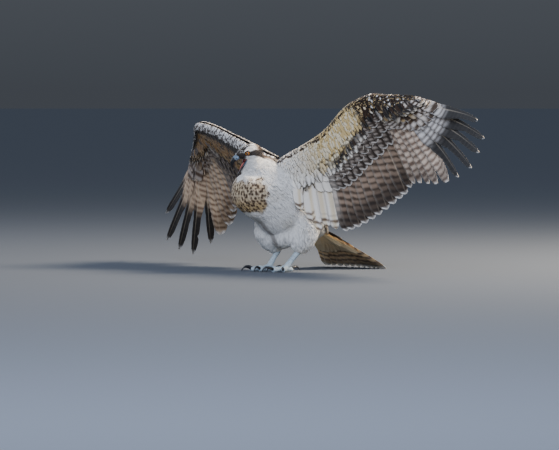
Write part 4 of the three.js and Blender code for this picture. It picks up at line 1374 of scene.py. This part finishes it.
def scaledLimb(name, points, radii, segments, rows, rings, node):
    # A limb with rows of scutes, flat where it rests on the floor
    verts, u = limbTube(points, radii, segments, rows)[:2]
    count, relief = rings
    bumpy = 1 - (np.abs(np.mod(u * count, 1) - 0.5) * 2) ** 3
    centre = verts.mean(1, keepdims=True)
    verts = centre + (verts - centre) * (1 + relief * (bumpy - 0.7))[..., None]
    verts[..., 2] = np.maximum(verts[..., 2], 0.0)
    closedTube(name, verts, footTone(verts, bumpy), scaleMaterial, node)


def addToe(name, toe, leg):
    turn, length = toes[toe]
    radius = footSettings["toeRadius"]
    x, y = leg["foot"][:2]
    angle = math.radians(leg["heading"]) + leg["side"] * math.radians(turn)
    aim = np.array([math.sin(angle), -math.cos(angle), 0])
    heel, end = np.array([x, y, radius]), np.array([x, y, radius * 0.86]) + aim * length
    knuckle, before = mix(heel, end, 0.55), end - aim * 5
    knuckle[2], before[2] = radius * 1.25, radius * 0.95
    points = [heel - aim * 5, heel, knuckle, before, end]
    rings = footSettings["toeRings"]
    scaledLimb(f"toe_{name}_{toe}", points, footSettings["toeRadii"], 16, 60, rings, f"foot_{name}")
    points = [(*end[:2], z) + aim * run * footSettings["clawLength"] for run, z in footSettings["clawLine"]]
    verts = limbTube(points, footSettings["clawRadii"], 14, 40)[0]
    verts[..., 2] = np.maximum(verts[..., 2], 0.0)
    closedTube(f"talon_{name}_{toe}", verts, plainTone("141519", verts), hornBlack, f"claw_{name}_{toe}")


def addLegs():
    for name, leg in legs.items():
        foot, hock = np.array(leg["foot"], float), np.array(leg["hock"], float)
        ankle = foot + [0, 9, 6]
        points = [mix(hock, leg["thigh"], 0.3), hock, mix(hock, ankle, 0.5), ankle, ankle + [0, -4, -6]]
        rings = footSettings["shankRings"]
        scaledLimb(f"tarsus_{name}", points, footSettings["shankRadii"], 18, 70, rings, f"shank_{name}")
        for toe in toes:
            addToe(name, toe, leg)
        verts, faces = ovalMesh(foot, footSettings["pad"])
        verts[..., 2] = np.maximum(verts[..., 2], 0.4)
        tone = footTone(verts, np.full(verts.shape[:2], 0.5))
        finishPiece(makeMesh(f"footPad_{name}", toFrame(verts), facesOut(verts, faces), tone), scaleMaterial)


addBody()
print("body done")
for side, seed in (("left", 3), ("right", 4)):
    addWing(side.capitalize(), wings[side], seed)
print("wings done")
addTail()
addBill()
addEyes()
addLegs()
print("head, tail and feet done")

# Floor, light and camera
studio = {
    "floor": "5f646b",
    "floorReach": 400,  # metres, so that its edge is never seen
    "sky": "d3deef",
    "skyRange": (0.085, 0.75),  # strength at the horizon and overhead
    # direction, distance, size, power and colour
    "lamps": {
        "keyLight": ((0.42, 0.62, 0.75), 3.2, 1.2, 320, "ffeed6"),
        "fillLight": ((0.72, -0.66, 0.42), 5.6, 3.0, 290, "dfe9ff"),
        "sideLight": ((-0.8, -0.4, 0.5), 4.4, 2.4, 60, "e6ecff"),
    },
}
cameraSettings = {
    "azimuth": 50,
    "height": 2,
    "distance": 10000,
    "aside": -14.3,  # of the picture's middle, along its own width
    "middle": 119.5,
    "sensor": 36,
    "lens": 36 * 3850 / 559,
}


def addStudio():
    board, tree, shader = newMaterial("Matt grey studio board")
    base = (*hexColour(studio["floor"]), 1)
    setInputs(tree, shader, {"Base Color": base, "Roughness": 0.9, "Specular IOR Level": 0.0})
    far = studio["floorReach"]
    mesh = bpy.data.meshes.new("floor")
    mesh.from_pydata([(-far, -far, 0), (far, -far, 0), (far, far, 0), (-far, far, 0)], [], [(0, 1, 2, 3)])
    mesh.materials.append(board)
    stagePieces = [linkNew("floor", mesh)]
    middle = (Vector(cadBox[0]) + Vector(cadBox[1])) / 2
    for name, (direction, away, size, power, colour) in studio["lamps"].items():
        lamp = bpy.data.lights.new(name, "AREA")
        lamp.size, lamp.energy, lamp.color = size, power, hexColour(colour)
        holder = linkNew(name, lamp)
        toLamp = Vector(direction).normalized()
        holder.location = middle + toLamp * away
        holder.rotation_euler = (-toLamp).to_track_quat("-Z", "Y").to_euler()
        stagePieces.append(holder)
    world = bpy.data.worlds.new("studio")
    bpy.context.scene.world = world
    world.use_nodes = True
    # Brighter overhead, so that the floor and the far sky meet without a hard line
    tree = world.node_tree
    place = addNode(tree, "ShaderNodeTexCoord")
    parts = addNode(tree, "ShaderNodeSeparateXYZ", None, {"Vector": place.outputs["Generated"]})
    low, high = studio["skyRange"]
    rise = addNode(tree, "ShaderNodeMapRange", None, {
        "Value": parts.outputs["Z"], "From Min": 0.0, "From Max": 0.8, "To Min": low, "To Max": high})
    setInputs(tree, tree.nodes["Background"], {"Color": (*hexColour(studio["sky"]), 1), "Strength": rise})


def addCamera():
    a, e = math.radians(cameraSettings["azimuth"]), math.radians(cameraSettings["height"])
    right = np.array([math.cos(a), math.sin(a), 0])
    back = np.array([math.sin(a) * math.cos(e), -math.cos(a) * math.cos(e), math.sin(e)])
    target = right * cameraSettings["aside"] + np.array([0, 0, cameraSettings["middle"]])
    data = bpy.data.cameras.new("camera")
    data.sensor_width, data.lens = cameraSettings["sensor"], cameraSettings["lens"]
    data.clip_start, data.clip_end = 0.1, 100
    camera = linkNew("camera", data)
    camera.location = Vector(toFrame(target + back * cameraSettings["distance"]))
    camera.rotation_euler = Vector(-back).to_track_quat("-Z", "Y").to_euler()
    bpy.context.scene.camera = camera


addStudio()
addCamera()
